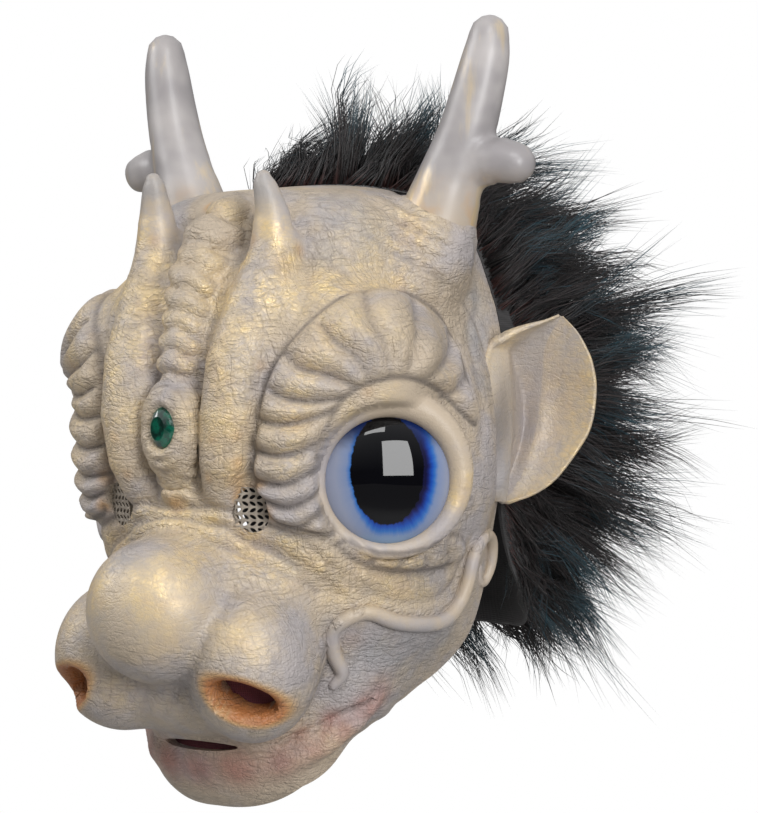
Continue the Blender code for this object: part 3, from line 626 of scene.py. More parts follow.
# the lids are laid over the sockets as smooth rolls, in two halves
def lid_body(first, last):
    rows = []
    for turn in np.radians(np.linspace(first, last, 14)):
        roll = float(lid_roll(cos(turn), sin(turn)))
        out = EYE_RADIUS + roll - 1.5
        place = EYE + out * cos(turn) * EYE_ACROSS + np.array([0, 0, out * sin(turn)]) + EYE_AXIS
        rows.append((*place, roll + 0.35))
    return tube_body(rows, 3, 26)


for side, maker in SIDES:
    for first in (0, 180):
        cut(face_skin, maker(lid_body(first - 6, first + 186)), 'UNION')



def smooth_joint(piece, gap_of, limit, rounds):
    """A piece's points within a limit of a joint, evened out among their neighbours."""
    body = bmesh.new()
    body.from_mesh(piece.data)
    gaps = gap_of(folded(np.array([v.co for v in body.verts]) * 1000 + SEAT))
    joint = [v for v, gap in zip(body.verts, gaps) if gap < limit]
    for _ in range(rounds):
        bmesh.ops.smooth_vert(body, verts=joint, factor=0.5,
                              use_axis_x=True, use_axis_y=True, use_axis_z=True)
    body.to_mesh(piece.data)
    body.free()


# the joints of the horns are smoothed into the ridges
smooth_joint(face_skin, lambda p: np.abs(tube_field(p, HORN[:4])) + np.abs(np.minimum(skin_field(p), 8)),
             5.0, 8)

# Paint on the face. Over the pale mauve-grey ground lie a dark wash in the folds and wrinkle
# lines, partly a real wash and partly painted shade, gold pearl dry-brushed on what stands out,
# rust and ochre round the nostrils and ridge feet, pink on the lips and cool grey on the temples.
# A dab is a soft patch at a pixel.
DABS = {
    "gold": [
        # x, y, reach in millimetres, strength
        (276, 232, 9, 0.9), (285, 258, 11, 1.0), (270, 292, 13, 1.0), (246, 330, 14, 0.8),
        (228, 372, 14, 0.8), (226, 420, 14, 0.7), (230, 470, 13, 0.6), (150, 230, 9, 1.0),
        (160, 262, 9, 1.0), (150, 300, 12, 0.9), (143, 350, 12, 0.7), (138, 420, 13, 0.6),
        (184, 366, 8, 0.8), (186, 342, 8, 0.8), (194, 318, 9, 0.8), (205, 292, 9, 0.9),
        (212, 263, 9, 0.9), (226, 216, 9, 1.0), (244, 190, 8, 0.6), (330, 285, 13, 1.0),
        (365, 280, 12, 0.9), (400, 286, 10, 0.8), (300, 300, 11, 0.8), (335, 330, 12, 0.8),
        (318, 365, 10, 1.0), (298, 388, 9, 1.0), (292, 412, 9, 0.9), (288, 440, 9, 0.9),
        (288, 468, 9, 0.8), (360, 322, 12, 0.5), (390, 330, 12, 0.4), (440, 372, 9, 0.6),
        (350, 412, 7, 0.5), (388, 392, 9, 0.4), (456, 498, 8, 0.8), (466, 480, 7, 0.6),
        (390, 250, 20, 0.5), (350, 235, 16, 0.3), (424, 236, 12, 0.7), (410, 215, 10, 0.6),
        (150, 588, 20, 0.75), (190, 560, 14, 0.6), (170, 640, 22, 0.25), (236, 632, 16, 0.5),
        (262, 650, 12, 0.4), (180, 516, 9, 0.9), (210, 522, 10, 0.9), (246, 532, 11, 0.9),
        (200, 542, 10, 0.8), (250, 560, 12, 0.8), (284, 568, 12, 0.7), (286, 545, 9, 0.7),
        (318, 566, 11, 0.6), (340, 590, 12, 0.5), (366, 560, 9, 0.7), (392, 564, 9, 0.8),
        (416, 560, 9, 0.7), (388, 586, 13, 0.9), (420, 586, 12, 0.8), (340, 650, 8, 0.4),
        (330, 740, 14, 0.3), (120, 700, 14, 0.3), (160, 456, 8, 0.5), (184, 470, 9, 0.5),
        (184, 490, 9, 0.6), (152, 404, 6, 0.5), (188, 410, 6, 0.5),
    ],
    "rust": [
        (236, 436, 5, 0.35), (238, 462, 5, 0.4), (208, 478, 5, 0.35), (212, 440, 5, 0.3),
        (196, 400, 4, 0.3), (244, 498, 7, 0.7), (252, 516, 7, 0.5), (270, 512, 6, 0.6),
        (262, 484, 6, 0.5), (238, 480, 8, 0.4), (176, 502, 8, 0.5), (232, 188, 6, 0.7),
        (212, 206, 6, 0.7), (254, 240, 6, 0.35), (300, 250, 6, 0.35), (262, 366, 6, 0.3),
        (368, 392, 6, 0.3), (394, 596, 8, 0.15), (300, 340, 5, 0.25), (338, 380, 5, 0.25),
        (240, 620, 8, 0.15),
    ],
    "pink": [
        (170, 760, 9, 0.8), (200, 770, 12, 0.9), (240, 770, 13, 0.9), (280, 762, 12, 0.8),
        (314, 748, 11, 0.7), (344, 730, 9, 0.8), (366, 708, 8, 1.0), (384, 700, 8, 0.7),
        (300, 736, 7, 0.7), (330, 718, 6, 0.8), (380, 686, 9, 0.35), (352, 640, 7, 0.2),
    ],
    "cool": [
        (340, 212, 16, 0.8), (370, 240, 16, 0.6), (330, 256, 12, 0.6), (474, 300, 12, 0.9),
        (478, 340, 12, 0.9), (486, 380, 12, 0.8), (402, 650, 20, 0.8), (440, 640, 16, 0.7),
        (370, 655, 14, 0.7), (330, 622, 8, 0.5), (100, 620, 14, 0.5), (90, 660, 14, 0.4),
        (300, 620, 12, 0.5), (188, 600, 18, 0.35), (120, 560, 12, 0.4), (440, 690, 16, 0.5),
        (186, 250, 5, 0.6), (170, 300, 6, 0.5), (240, 262, 6, 0.5), (216, 320, 6, 0.5),
    ],
    "plain": [
        (266, 188, 13, 1.0), (270, 206, 10, 0.8), (150, 200, 12, 0.9), (160, 610, 40, 0.8),
        (250, 640, 20, 0.4), (400, 392, 22, 0.6), (340, 450, 12, 0.5), (470, 480, 12, 0.5),
    ],
}


def paint_points(piece, marks):
    for label, values in marks.items():
        layer = piece.data.attributes.get(label) or piece.data.attributes.new(label, 'FLOAT', 'POINT')
        layer.data.foreach_set("value", np.ascontiguousarray(values, np.float32))


def places_of(piece):
    """Where a piece's points lie, in millimetres from the centre of the nose."""
    return np.array([v.co for v in piece.data.vertices]) * 1000 + SEAT


places = places_of(face_skin)
halved = folded(places)
marks = {}
for label, rows in DABS.items():
    centres = spot([row[:2] for row in rows])
    total = np.zeros(len(places))
    for centre, (_, _, reach_mm, strength) in zip(folded(centres), rows):
        d = np.linalg.norm(halved - centre, axis=1)
        total = 1 - (1 - total) * (1 - strength * np.exp(-(d / reach_mm) ** 2))
    marks[label] = total
tree = KDTree(fold_mark.size)
for index, place in enumerate(skin_outer.reshape(-1, 3)):
    tree.insert(place, index)
tree.balance()
nearest = np.array([tree.find(p)[1:] for p in places])
# how deep in a fold each point is; the shader darkens it as wash and painted shade
marks["fold"] = fold_mark.reshape(-1)[nearest[:, 0].astype(int)] * np.exp(-nearest[:, 1] / 3)
whisker_gap = tube_field(halved, WHISKER)
marks["plain"] = np.maximum(marks["plain"], whisker_gap < 0.6)
horn_tip = np.clip((halved[:, 2] - 196) / 30, 0, 1) * np.clip(1.5 - tube_field(halved, HORN) / 4, 0, 1)
marks["plain"] = np.maximum(marks["plain"], horn_tip)
marks["cool"] = np.maximum(marks["cool"], 0.9 * np.clip((halved[:, 2] - 222) / 20, 0, 1) * horn_tip)
a, b, w = nostril_frame(halved)
ring = np.hypot(a / NOSTRIL_SIZE[0], b / NOSTRIL_SIZE[1])
around = np.exp(-(np.clip(ring - 1.15, 0, 9) / 0.42) ** 2) * (np.abs(w) < 26)
marks["rust"] = np.maximum(marks["rust"], around)
a, b, w = eye_frame(halved)
on_lid = np.clip((EYE_RADIUS + 1.9 * lid_roll(a, b) - np.hypot(a, b)) / 4, 0, 1) * (np.abs(w) < 22)
marks["plain"] = np.maximum(marks["plain"], 0.75 * on_lid)
marks["inside"] = (skin_field(places) < -0.8 * WALL) * (nearest[:, 1] > 1.5) * (whisker_gap > 0.5)
paint_points(face_skin, marks)
face_skin.data.shade_smooth()
face_skin.data.set_sharp_from_angle(angle=radians(55))


class Wire:
    """A shader socket that takes part in sums, so a mask can be written as an expression."""

    def __init__(self, tree, socket):
        self.tree, self.socket = tree, socket

    def node(self, kind, values=(), out=0, **settings):
        made = self.tree.nodes.new(kind)
        stops = settings.pop("stops", None)
        for key, value in settings.items():
            setattr(made, key, value)
        if stops:
            ramp = made.color_ramp
            while len(ramp.elements) < len(stops):
                ramp.elements.new(1.0)
            for element, (place, colour) in zip(ramp.elements, stops):
                element.position, element.color = place, (*colour, 1.0)
        for key, value in dict(values).items():
            if isinstance(value, Wire):
                self.tree.links.new(value.socket, made.inputs[key])
            elif isinstance(value, tuple) and len(value) == 3 and made.inputs[key].type == 'RGBA':
                made.inputs[key].default_value = (*value, 1.0)
            else:
                made.inputs[key].default_value = value
        return Wire(self.tree, made.outputs[out])

    def maths(self, operation, *others, clamp=False):
        values = {0: self}
        values.update({i + 1: other for i, other in enumerate(others)})
        return self.node('ShaderNodeMath', values, operation=operation, use_clamp=clamp)

    def __add__(self, other):
        return self.maths('ADD', other)

    def __mul__(self, other):
        return self.maths('MULTIPLY', other)

    def __sub__(self, other):
        return self.maths('SUBTRACT', other)

    def __truediv__(self, other):
        return self.maths('DIVIDE', other)

    def __pow__(self, other):
        return self.maths('POWER', other)

    def __rsub__(self, other):
        return self.node('ShaderNodeMath', {0: other, 1: self}, operation='SUBTRACT')

    __radd__, __rmul__ = __add__, __mul__

    def between(self, low, high):
        """0 below low, 1 above high and smooth between them."""
        return self.node('ShaderNodeMapRange', {0: self, 1: low, 2: high, 3: 0.0, 4: 1.0},
                         interpolation_type='SMOOTHSTEP')

    def tint(self, base, colour):
        """The base colour turned to another where this mask is 1."""
        return self.node('ShaderNodeMix', {0: self, 6: base, 7: colour}, out=2, data_type='RGBA')


def new_finish(name, **constants):
    """A material, the shader's surface and a wire to build from."""
    finish = bpy.data.materials.new(name)
    finish.use_nodes = True
    nodes = finish.node_tree.nodes
    surface = nodes["Principled BSDF"]
    for key, value in constants.items():
        socket = surface.inputs[key.replace("_", " ")]
        socket.default_value = (*value, 1.0) if socket.type == 'RGBA' else value
    place = nodes.new('ShaderNodeTexCoord')
    return finish, surface, Wire(finish.node_tree, place.outputs["Object"])


def plug_in(surface, wire, **links):
    for key, value in links.items():
        wire.tree.links.new(value.socket, surface.inputs[key.replace("_", " ")])


def attribute(wire, label):
    return wire.node('ShaderNodeAttribute', attribute_name=label, out=2)


def noise(wire, scale, detail=4.0, rough=0.55, spot_wire=None):
    return wire.node('ShaderNodeTexNoise', {"Vector": spot_wire or wire, "Scale": scale, "Detail": detail,
                                            "Roughness": rough})


def stretched(wire, scale, turn):
    return wire.node('ShaderNodeMapping', {"Vector": wire, "Scale": scale, "Rotation": turn})


def meander(wire, place, scale, width):
    """Fine wandering lines: 0 on a line and 1 away from it."""
    height = wire.node('ShaderNodeTexNoise', {"Vector": place, "Scale": scale, "Detail": 1.5,
                                              "Roughness": 0.5})
    return (height - 0.5).maths('ABSOLUTE').between(0.0, width)


def cells(wire, place, scale, width):
    """Skin cells: 0 in the crease between two cells and 1 inside them."""
    edge = wire.node('ShaderNodeTexVoronoi', {"Vector": place, "Scale": scale, "Randomness": 1.0},
                     feature='DISTANCE_TO_EDGE')
    return edge.between(0.0, width)


GROUND = (0.42, 0.345, 0.262)
LILAC = (0.345, 0.315, 0.315)
# dark wash colour for the folds and wrinkle lines, partly real wash and partly painted shade
WASH_AND_SHADE = (0.10, 0.085, 0.075)
GOLD = (0.80, 0.60, 0.28)
OCHRE = (0.47, 0.28, 0.12)
RUST = (0.36, 0.12, 0.03)
PINK = (0.31, 0.135, 0.105)
COOL = (0.27, 0.27, 0.285)
LATEX_INSIDE = (0.42, 0.36, 0.28)


def latex_finish(name):
    """Satin pearl paint on wrinkled latex."""
    finish, surface, at = new_finish(name, Coat_Weight=0.1, Coat_Roughness=0.38, Specular_IOR_Level=0.5)
    warp = at.node('ShaderNodeMix', {0: 0.012, 4: at, 5: at.node('ShaderNodeTexNoise', {
        "Vector": at, "Scale": 32.0, "Detail": 3.0}, out=1)}, out=1, data_type='VECTOR')
    slant = meander(at, stretched(warp, (1.0, 0.6, 3.4), (0.5, 0.6, 0.2)), 60.0, 0.07)
    other = meander(at, stretched(warp, (1.0, 3.0, 0.6), (-0.6, -0.5, 0.3)), 70.0, 0.06)
    scales = cells(at, stretched(warp, (1.0, 0.8, 1.9), (0.3, -0.6, 0.5)), 170.0, 0.2)
    fine = cells(at, warp, 420.0, 0.2)
    plain = attribute(at, "plain").between(0.0, 0.9)
    rough = 1 - plain
    patch = noise(at, 26.0, 2.0).between(0.38, 0.6)
    grain = noise(at, 800.0, 3.0)
    height = ((slant * 0.5 + other * 0.4) * rough * (patch * 0.5 + 0.5)
              + scales * rough * 0.3 + fine * (rough * 0.22 + 0.05) + grain * 0.1 + noise(at, 110.0) * 0.4)
    bump = at.node('ShaderNodeBump', {"Strength": 0.8, "Distance": 0.0010, "Height": height})

    mottle = noise(at, 20.0, 5.0, 0.6)
    patchy = noise(at, 70.0, 4.0, 0.65)
    fold = attribute(at, "fold")
    gold = attribute(at, "gold")
    colour = mottle.between(0.42, 0.64).tint(GROUND, LILAC)
    colour = (attribute(at, "cool") * patchy.between(0.2, 0.6) * 0.8).tint(colour, COOL)
    ochre = gold * noise(at, 34.0).between(0.46, 0.66) * 0.35
    colour = ochre.tint(colour, OCHRE)
    streak = noise(at, 120.0, 3.0, 0.6).between(0.3, 0.68)
    brushed = gold * (streak * 0.7 + 0.3) * (scales * 0.35 + 0.65) * (1 - fold * 0.9)
    colour = (brushed * 0.85).tint(colour, GOLD)
    colour = (attribute(at, "pink") * (patchy * 0.5 + 0.6)).maths('MINIMUM', 1.0).tint(colour, PINK)
    rust = (attribute(at, "rust") * (patchy * 0.4 + 0.75)).maths('MINIMUM', 1.0)
    colour = (rust.between(0.05, 0.65) * 0.9).tint(colour, OCHRE)
    colour = rust.between(0.5, 1.1).tint(colour, RUST)
    # painted shade: folds and wrinkle lines darkened towards the wash colour, partly a real wash and partly
    # the shade of the creases
    lines = (1 - slant * other * (scales * 0.35 + 0.65)) * rough * (patch * 0.16 + 0.10)
    dark = (fold.between(0.15, 1.0) * 0.75).maths('MAXIMUM', lines)
    colour = dark.tint(colour, WASH_AND_SHADE)
    colour = attribute(at, "inside").tint(colour, LATEX_INSIDE)
    plug_in(surface, at, Base_Color=colour, Metallic=brushed * 0.35, Normal=bump,
            Roughness=0.5 - brushed * 0.18 + dark * 0.2 + (mottle - 0.5) * 0.2)
    return finish


skin_finish = latex_finish("pearl_latex")
face_skin.data.materials.clear()
face_skin.data.materials.append(skin_finish)
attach(face_skin, "root")
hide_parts("face_shell")

# The antlers. Cast latex prongs with a blunt tip and one short branch each, smooth and pale
# grey with gold streaks, their feet sunk in the wrinkled collars on the crown.
ANTLER = [
    (84, -44, 202, 25.5), (88, -42, 216, 25), (92, -41, 228, 23.5), (100, -40, 250, 20.2),
    (109, -38, 275, 17.4), (116, -36, 300, 15.8), (121, -34, 322, 14.2), (123, -33, 336, 12),
]
BRANCH = [(104, -38, 254, 15), (116, -36, 259, 15), (128, -35, 262, 14), (141, -33, 260, 12.4)]
ANTLER_PALE = (0.40, 0.375, 0.37)
ANTLER_GREY = (0.25, 0.235, 0.24)


def antler_body(rows):
    return tube_body(rows, 6, 40, 1.0)


def antler_finish():
    finish, surface, at = new_finish("antler_latex", Coat_Weight=0.2, Coat_Roughness=0.3)
    slow = noise(at, 18.0, 3.0)
    streaks = noise(at, 1.0, 4.0, 0.6, stretched(at, (60.0, 60.0, 12.0), (0.0, 0.4, 0.0)))
    foot = attribute(at, "foot")
    colour = slow.between(0.35, 0.65).tint(ANTLER_PALE, ANTLER_GREY)
    colour = (foot * 0.8).tint(colour, GROUND)
    gold = streaks.between(0.5, 0.68) * (0.55 + foot * 0.4)
    colour = (gold * 0.6).tint(colour, GOLD)
    colour = (foot * noise(at, 60.0).between(0.45, 0.7) * 0.5).tint(colour, OCHRE)
    height = noise(at, 400.0) * 0.15 + noise(at, 90.0) * 0.3
    bump = at.node('ShaderNodeBump', {"Strength": 0.5, "Distance": 0.0008, "Height": height})
    plug_in(surface, at, Base_Color=colour, Metallic=gold * 0.4, Roughness=0.42 - gold * 0.1, Normal=bump)
    return finish


smooth_latex = antler_finish()
for side, maker in SIDES:
    antler = finished(side + "_antler_skin", maker(antler_body(ANTLER)))
    cut(antler, maker(tube_body(BRANCH, 6, 32, 1.0)), 'UNION')
    smooth_joint(antler, lambda p: np.abs(tube_field(p, ANTLER)) + np.abs(tube_field(p, BRANCH)), 7, 12)
    places = places_of(antler)
    paint_points(antler, {"foot": np.clip((258 - places[:, 2]) / 32, 0, 1)})
    antler.data.materials.clear()
    antler.data.materials.append(smooth_latex)
    antler.data.shade_smooth()
    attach(antler, "root")
    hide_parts(side + "_antler")

# The ears. Thin cupped leaves of latex that stand off the temples, with a rolled front rim, a
# hollow bowl and a pointed tip, painted like the face but smoother.
EAR_FOOT = np.array([109.0, 1.0, 56.0])
EAR_ACROSS = np.array([0.84, 0.55, 0]) / np.linalg.norm([0.84, 0.55])
EAR_FACING = np.array([0.55, -0.84, 0.0]) / np.linalg.norm([0.55, -0.84])
EAR = [
    # height, front edge, outer edge, depth of the bowl
    (1, -4, 6, 1.5), (6, -9, 21, 5), (15, -13, 34, 9), (32, -16, 47, 15), (47, -17, 55, 19),
    (68, -15, 58, 18), (84, -10, 56, 13), (94, -3, 52, 9), (103, 11, 47, 5), (109, 26, 42, 2),
    (113, 36, 38, 0.5),
]


def ear_grid(thick):
    """The leaf's front and back. Its front rim is laid over the side of the head, and its bowl
    stays clear of the head behind the rim."""
    rows = along_curve(EAR, 8)
    share = np.linspace(0, 1, 49)
    front = []
    for height, near, far, bowl in rows:
        cup = bowl * np.sin(pi * np.clip(share * 0.94, 0, 1) ** 0.82) ** 0.9
        low = np.exp(-((height - 42) / 26) ** 2)
        cup += 5.0 * low * np.exp(-((share - 0.38) / 0.13) ** 2)
        root = np.interp(height, [0, 14, 55, 84, 100, 112], [10, 17, 19, 13, 5, 1])
        lip = root * np.clip(1 - share / 0.27, 0, 1) ** 1.4
        fold = 3.0 * np.exp(-((share - 0.56) / 0.09) ** 2 - ((height - 46) / 24) ** 2)
        place = EAR_FOOT + (near + (far - near) * share)[:, None] * EAR_ACROSS + np.array([0, 0, height])
        front.append(place - (cup - fold - lip)[:, None] * EAR_FACING)
    front = np.array(front)
    level = rows[:, 0][:, None]
    want = np.interp(share, [0, 0.07, 0.15, 0.26, 0.4], [-3, 4.0, 6.5, 3.0, 2.5])[None]
    hold = np.interp(share, [0, 0.18, 0.34], [1, 1, 0])[None] * np.interp(level, [0, 76, 97], [1, 1, 0])
    for _ in range(4):
        gap = skin_field(front)
        front[..., 0] += (want - gap) * hold + np.clip(2.5 - gap, 0, 8) * (1 - hold)
    normal = np.cross(np.gradient(front, axis=1), np.gradient(front, axis=0))
    normal /= np.linalg.norm(normal, axis=-1, keepdims=True) + 1e-9
    normal *= np.sign((normal @ EAR_FACING).mean())
    rim = 1 + 0.8 * np.exp(-(share / 0.10) ** 2) - 0.45 * np.exp(-((1 - share) / 0.08) ** 2)
    rim = rim[None] * np.clip((114 - level) / 14, 0.3, 1)
    return front, front - normal * (thick * rim)[..., None]


ear_front, ear_back = ear_grid(3.0)
for side, maker in SIDES:
    ear = finished(side + "_ear_skin", maker(shell_body(ear_front, ear_back)))
    places = folded(places_of(ear))
    offset = places - EAR_FOOT
    across = offset @ EAR_ACROSS
    rows = np.array(EAR)
    near = np.interp(offset[:, 2], rows[:, 0], rows[:, 1])
    far = np.interp(offset[:, 2], rows[:, 0], rows[:, 2])
    share = np.clip((across - near) / (far - near + 1e-6), 0, 1)
    deep_in = np.clip(-(offset @ EAR_FACING) / 22, 0, 1)
    # painted shade: the fold mark and the grey that grows deeper in the bowl darken the inside of the ear,
    # over its own grey paint
    paint_points(ear, {
        "fold": 0.8 * np.exp(-((share - 0.22) / 0.13) ** 2 - ((offset[:, 2] - 48) / 34) ** 2),
        "cool": 0.45 + deep_in * 0.4, "pink": deep_in * 0.12,
        "gold": 0.5 * np.exp(-(np.minimum(share, 1 - share) / 0.16) ** 2) + 0.25 * (share > 0.55),
        "plain": np.full(len(places), 0.55), "rust": 0.25 * np.clip(offset[:, 2] / 110 - 0.6, 0, 1),
        "inside": np.zeros(len(places)),
    })
    ear.data.materials.append(skin_finish)
    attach(ear, "root")
    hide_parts(side + "_ear")

# The eyes. Clear resin domes over a painted disc, pressed into the sockets behind the lids: a
# tall black pupil with a frayed edge, a blue ring, a pale lavender white and a dark rim.
EYE_DOME = 12.0
PUPIL = (21.0, 31.0, -1.5, 6.0)


def eye_body():
    body = plug_body(EYE, EYE_AXIS, [(EYE_RADIUS - 0.3, EYE_RADIUS - 0.3, -4.0)] + [
        ((EYE_RADIUS - 0.3) * cos(t), (EYE_RADIUS - 0.3) * cos(t), EYE_DOME * sin(t))
        for t in np.radians(np.linspace(0, 89, 26))], 72)
    return body


def eye_finish():
    finish, surface, at = new_finish("eye_resin", Coat_Weight=1.0, Coat_Roughness=0.02, Roughness=0.5,
                                     Coat_IOR=1.36, Specular_IOR_Level=0.0)
    across, over = attribute(at, "across"), attribute(at, "over")
    wide, tall, side, lift = PUPIL
    x, y = (across - side) / wide, (over - lift) / tall
    rim = (across * across + over * over) ** 0.5 / EYE_RADIUS
    far = (x * x + y * y) ** 0.5
    spoke = at.node('ShaderNodeCombineXYZ', {0: x / far * 3.2, 1: y / far * 3.2, 2: far * 0.5})
    frayed = noise(at, 3.0, 3.0, 0.6, spoke) - 0.5
    edge = far + frayed * 0.13
    aside = across / EYE_RADIUS
    band = edge - aside.between(0.0, 0.6) * 0.20 + aside.between(-0.2, -0.6) * 0.12
    iris = band.node('ShaderNodeValToRGB', {0: (band - 0.9) * 1.6}, stops=[
        (0.0, (0.006, 0.006, 0.03)), (0.10, (0.008, 0.014, 0.10)), (0.26, (0.010, 0.055, 0.30)),
        (0.40, (0.03, 0.12, 0.36)), (0.56, (0.15, 0.20, 0.33)), (1.0, (0.22, 0.245, 0.33))])
    top = (over / EYE_RADIUS + frayed * 0.15).between(0.42, 0.86)
    colour = top.tint(iris, (0.004, 0.014, 0.075))
    low = (over / EYE_RADIUS).between(-0.75, -0.98) * 0.4
    colour = low.tint(colour, (0.20, 0.36, 0.52))
    colour = edge.between(1.0, 1.035).tint((0.0015, 0.0015, 0.0025), colour)
    colour = rim.between(0.955, 0.99).tint(colour, (0.01, 0.012, 0.03))
    plug_in(surface, at, Base_Color=colour)
    return finish


eye_paint = eye_finish()
for side, maker in SIDES:
    eye = finished(side + "_eye_dome", maker(eye_body()), 60)
    places = folded(places_of(eye))
    across, over, _ = eye_frame(places)
    paint_points(eye, {"across": across, "over": over})
    eye.data.materials.append(eye_paint)
    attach(eye, "root")
    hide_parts(side + "_eye")

# The forehead stone. An oval cut glass gem, emerald green, with a table, a crown of facets and
# a girdle, glued in the collar between the brow ridges.
def gem_body():
    a, b, high = GEM_SIZE
    body = bmesh.new()
    loops = []
    for grow, place, turn_by in ((0.72, -3.0, 0), (1.0, -0.8, 0), (1.0, 0.4, 0), (0.86, 2.6, 0.5),
                                 (0.56, high, 0)):
        ring = bmesh.ops.create_circle(body, segments=16, radius=grow)["verts"]
        spin = Matrix.Rotation(turn_by * 2 * pi / 16, 3, 'Z')
        for vert in ring:
            at = spin @ vert.co
            vert.co = metres(GEM + np.array([a * at.x, -place, b * at.y]))
        loops.append(list({e for v in ring for e in v.link_edges}))
    bmesh.ops.contextual_create(body, geom=loops[0])
    bmesh.ops.contextual_create(body, geom=loops[-1])
    for one, other in zip(loops[:-1], loops[1:]):
        bmesh.ops.bridge_loops(body, edges=one + other)
    bmesh.ops.triangulate(body, faces=[f for f in body.faces if len(f.verts) == 4])
    bmesh.ops.recalc_face_normals(body, faces=body.faces)
    return body


stone = finished("forehead_stone", gem_body(), 5)
finish, surface, at = new_finish("green_glass", Coat_Weight=1.0, Coat_Roughness=0.02, Roughness=0.08,
                                 Metallic=0.1)
depth = noise(at, 160.0, 2.0).between(0.35, 0.65)
plug_in(surface, at, Base_Color=depth.tint((0.0, 0.014, 0.009), (0.0, 0.085, 0.05)))
stone.data.materials.append(finish)
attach(stone, "root")
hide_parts("forehead_gem")

# The sight panels. Small plates of punched grey-brown plastic, sunk in the skin at the foot of
# each ridge, with a honeycomb of holes to look through.
HOLE_PITCH = (4.4, 3.9)
WEB = 0.8


def sight_body():
    a, b = MESH_SIZE
    across = np.cross((0, 0, 1.0), MESH_AXIS)
    across /= np.linalg.norm(across)
    over = np.cross(MESH_AXIS, across)
    body = bmesh.new()
    bmesh.ops.create_grid(body, x_segments=7, y_segments=9, size=0.5)
    for vert in body.verts:
        x, y = vert.co.x * 7 * HOLE_PITCH[0], vert.co.y * 9 * HOLE_PITCH[1]
        row = round((vert.co.y + 0.5) * 9)
        x += HOLE_PITCH[0] * 0.25 * (1 if row % 2 else -1)
        vert.co = Vector((x, y, 0))
    middles = [(f, f.calc_center_median()) for f in body.faces]
    outside = [f for f, at in middles if (at.x / (a + 1.5)) ** 2 + (at.y / (b + 1.5)) ** 2 > 1]
    bmesh.ops.delete(body, geom=outside, context='FACES')
    holes = list(body.faces)
    bmesh.ops.inset_individual(body, faces=holes, thickness=WEB)
    bmesh.ops.delete(body, geom=holes, context='FACES')
    for vert in body.verts:
        place = MESH_AT + vert.co.x * across + vert.co.y * over + 4.6 * MESH_AXIS
        vert.co = metres(place)
    bmesh.ops.recalc_face_normals(body, faces=body.faces)
    bmesh.ops.solidify(body, geom=list(body.faces), thickness=0.0011)
    bmesh.ops.recalc_face_normals(body, faces=body.faces)
    return body


finish, surface, at = new_finish("sight_plastic", Roughness=0.55)
speckle = noise(at, 300.0).between(0.3, 0.7)
plug_in(surface, at, Base_Color=speckle.tint((0.20, 0.17, 0.14), (0.34, 0.30, 0.25)))
for side, maker in SIDES:
    panel = finished(side + "_sight_panel", maker(sight_body()))
    rounding = panel.modifiers.new("round", 'SUBSURF')
    rounding.levels = rounding.render_levels = 2
    panel.data.materials.append(finish)
    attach(panel, "root")
    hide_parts(side + "_vision_mesh")

# The cloths behind the openings. Maroon stretch cloth is glued inside the nostrils and behind
# the parted lips, and shows as a dull red-brown hollow.
MAROON = (0.23, 0.055, 0.075)


def weave_finish(name, thread, dark, pitch):
    finish, surface, at = new_finish(name, Sheen_Weight=0.2, Sheen_Roughness=0.5)
    warp = at.node('ShaderNodeTexWave', {"Vector": at, "Scale": pitch, "Distortion": 1.0}, out=1,
                   bands_direction='X')
    weft = at.node('ShaderNodeTexWave', {"Vector": at, "Scale": pitch, "Distortion": 1.0}, out=1,
                   bands_direction='Z')
    height = warp * 0.5 + weft * 0.5
    colour = (height * noise(at, 40.0).between(0.2, 0.8)).tint(dark, thread)
    bump = at.node('ShaderNodeBump', {"Strength": 0.5, "Distance": 0.0004, "Height": height})
    plug_in(surface, at, Base_Color=colour, Roughness=0.95 - height * 0.15, Normal=bump)
    return finish


maroon_cloth = weave_finish("maroon_cloth", MAROON, (0.12, 0.03, 0.04), 300.0)


def dished(centre, axis, wide, tall, hollow, roll):
    rings = [(wide * cos(t), tall * cos(t), -hollow * sin(t)) for t in np.radians([86, 70, 50, 30, 12, 0])]
    rings += [(wide, tall, -1.2)] + [(wide * cos(t), tall * cos(t), -1.2 - hollow * sin(t))
                                     for t in np.radians([12, 30, 50, 70, 86])]
    return plug_body(centre, axis, rings, 36, roll)


for side, maker in SIDES:
    centre = NOSTRIL - 14.5 * NOSTRIL_AXIS
    disc = dished(centre, NOSTRIL_AXIS, 24, 15, 4, NOSTRIL_ROLL)
    cloth = finished(side + "_nostril_lining", maker(disc))
    cloth.data.materials.append(maroon_cloth)
    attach(cloth, "root")
    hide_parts(side + "_nostril_cloth")
disc = dished(np.array([0, -145.0, -82.0]), np.array([0, -1.0, 0]), 30, 9, 1, 0.0)
cloth = finished("mouth_lining", disc)
cloth.data.materials.append(maroon_cloth)
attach(cloth, "root")
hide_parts("mouth_cloth")

# The hood. Black stretch cloth sewn to the rim of the latex at the crown and cheeks, that
# covers the back of the head down to the nape and carries the fur.
HOOD_LUMPS = [row for row in LUMPS if row[0] in ("cranium", "crown", "neck", "temple")]


def hood_field(p):
    return lump_field(folded(p), HOOD_LUMPS)


up_share, across_share = np.meshgrid(np.linspace(0, 1, 81), np.linspace(0, 1, 71), indexing='ij')
hood_way = directions(*lattice(up_share, across_share, 2, 3, 0.0, 0.6))
hood_reach = reach_of(hood_field, hood_way, 330, 60)
hood_outer = HUB + hood_way * hood_reach[..., None]
hood_inner = HUB + hood_way[::2, ::2] * (hood_reach[::2, ::2] - 2.5)[..., None]
hood = finished("fur_hood", shell_body(hood_outer, hood_inner), 60)
hood.data.materials.append(weave_finish("black_cloth", (0.02, 0.018, 0.02), (0.006, 0.005, 0.006), 240.0))
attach(hood, "root")
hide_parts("hood")

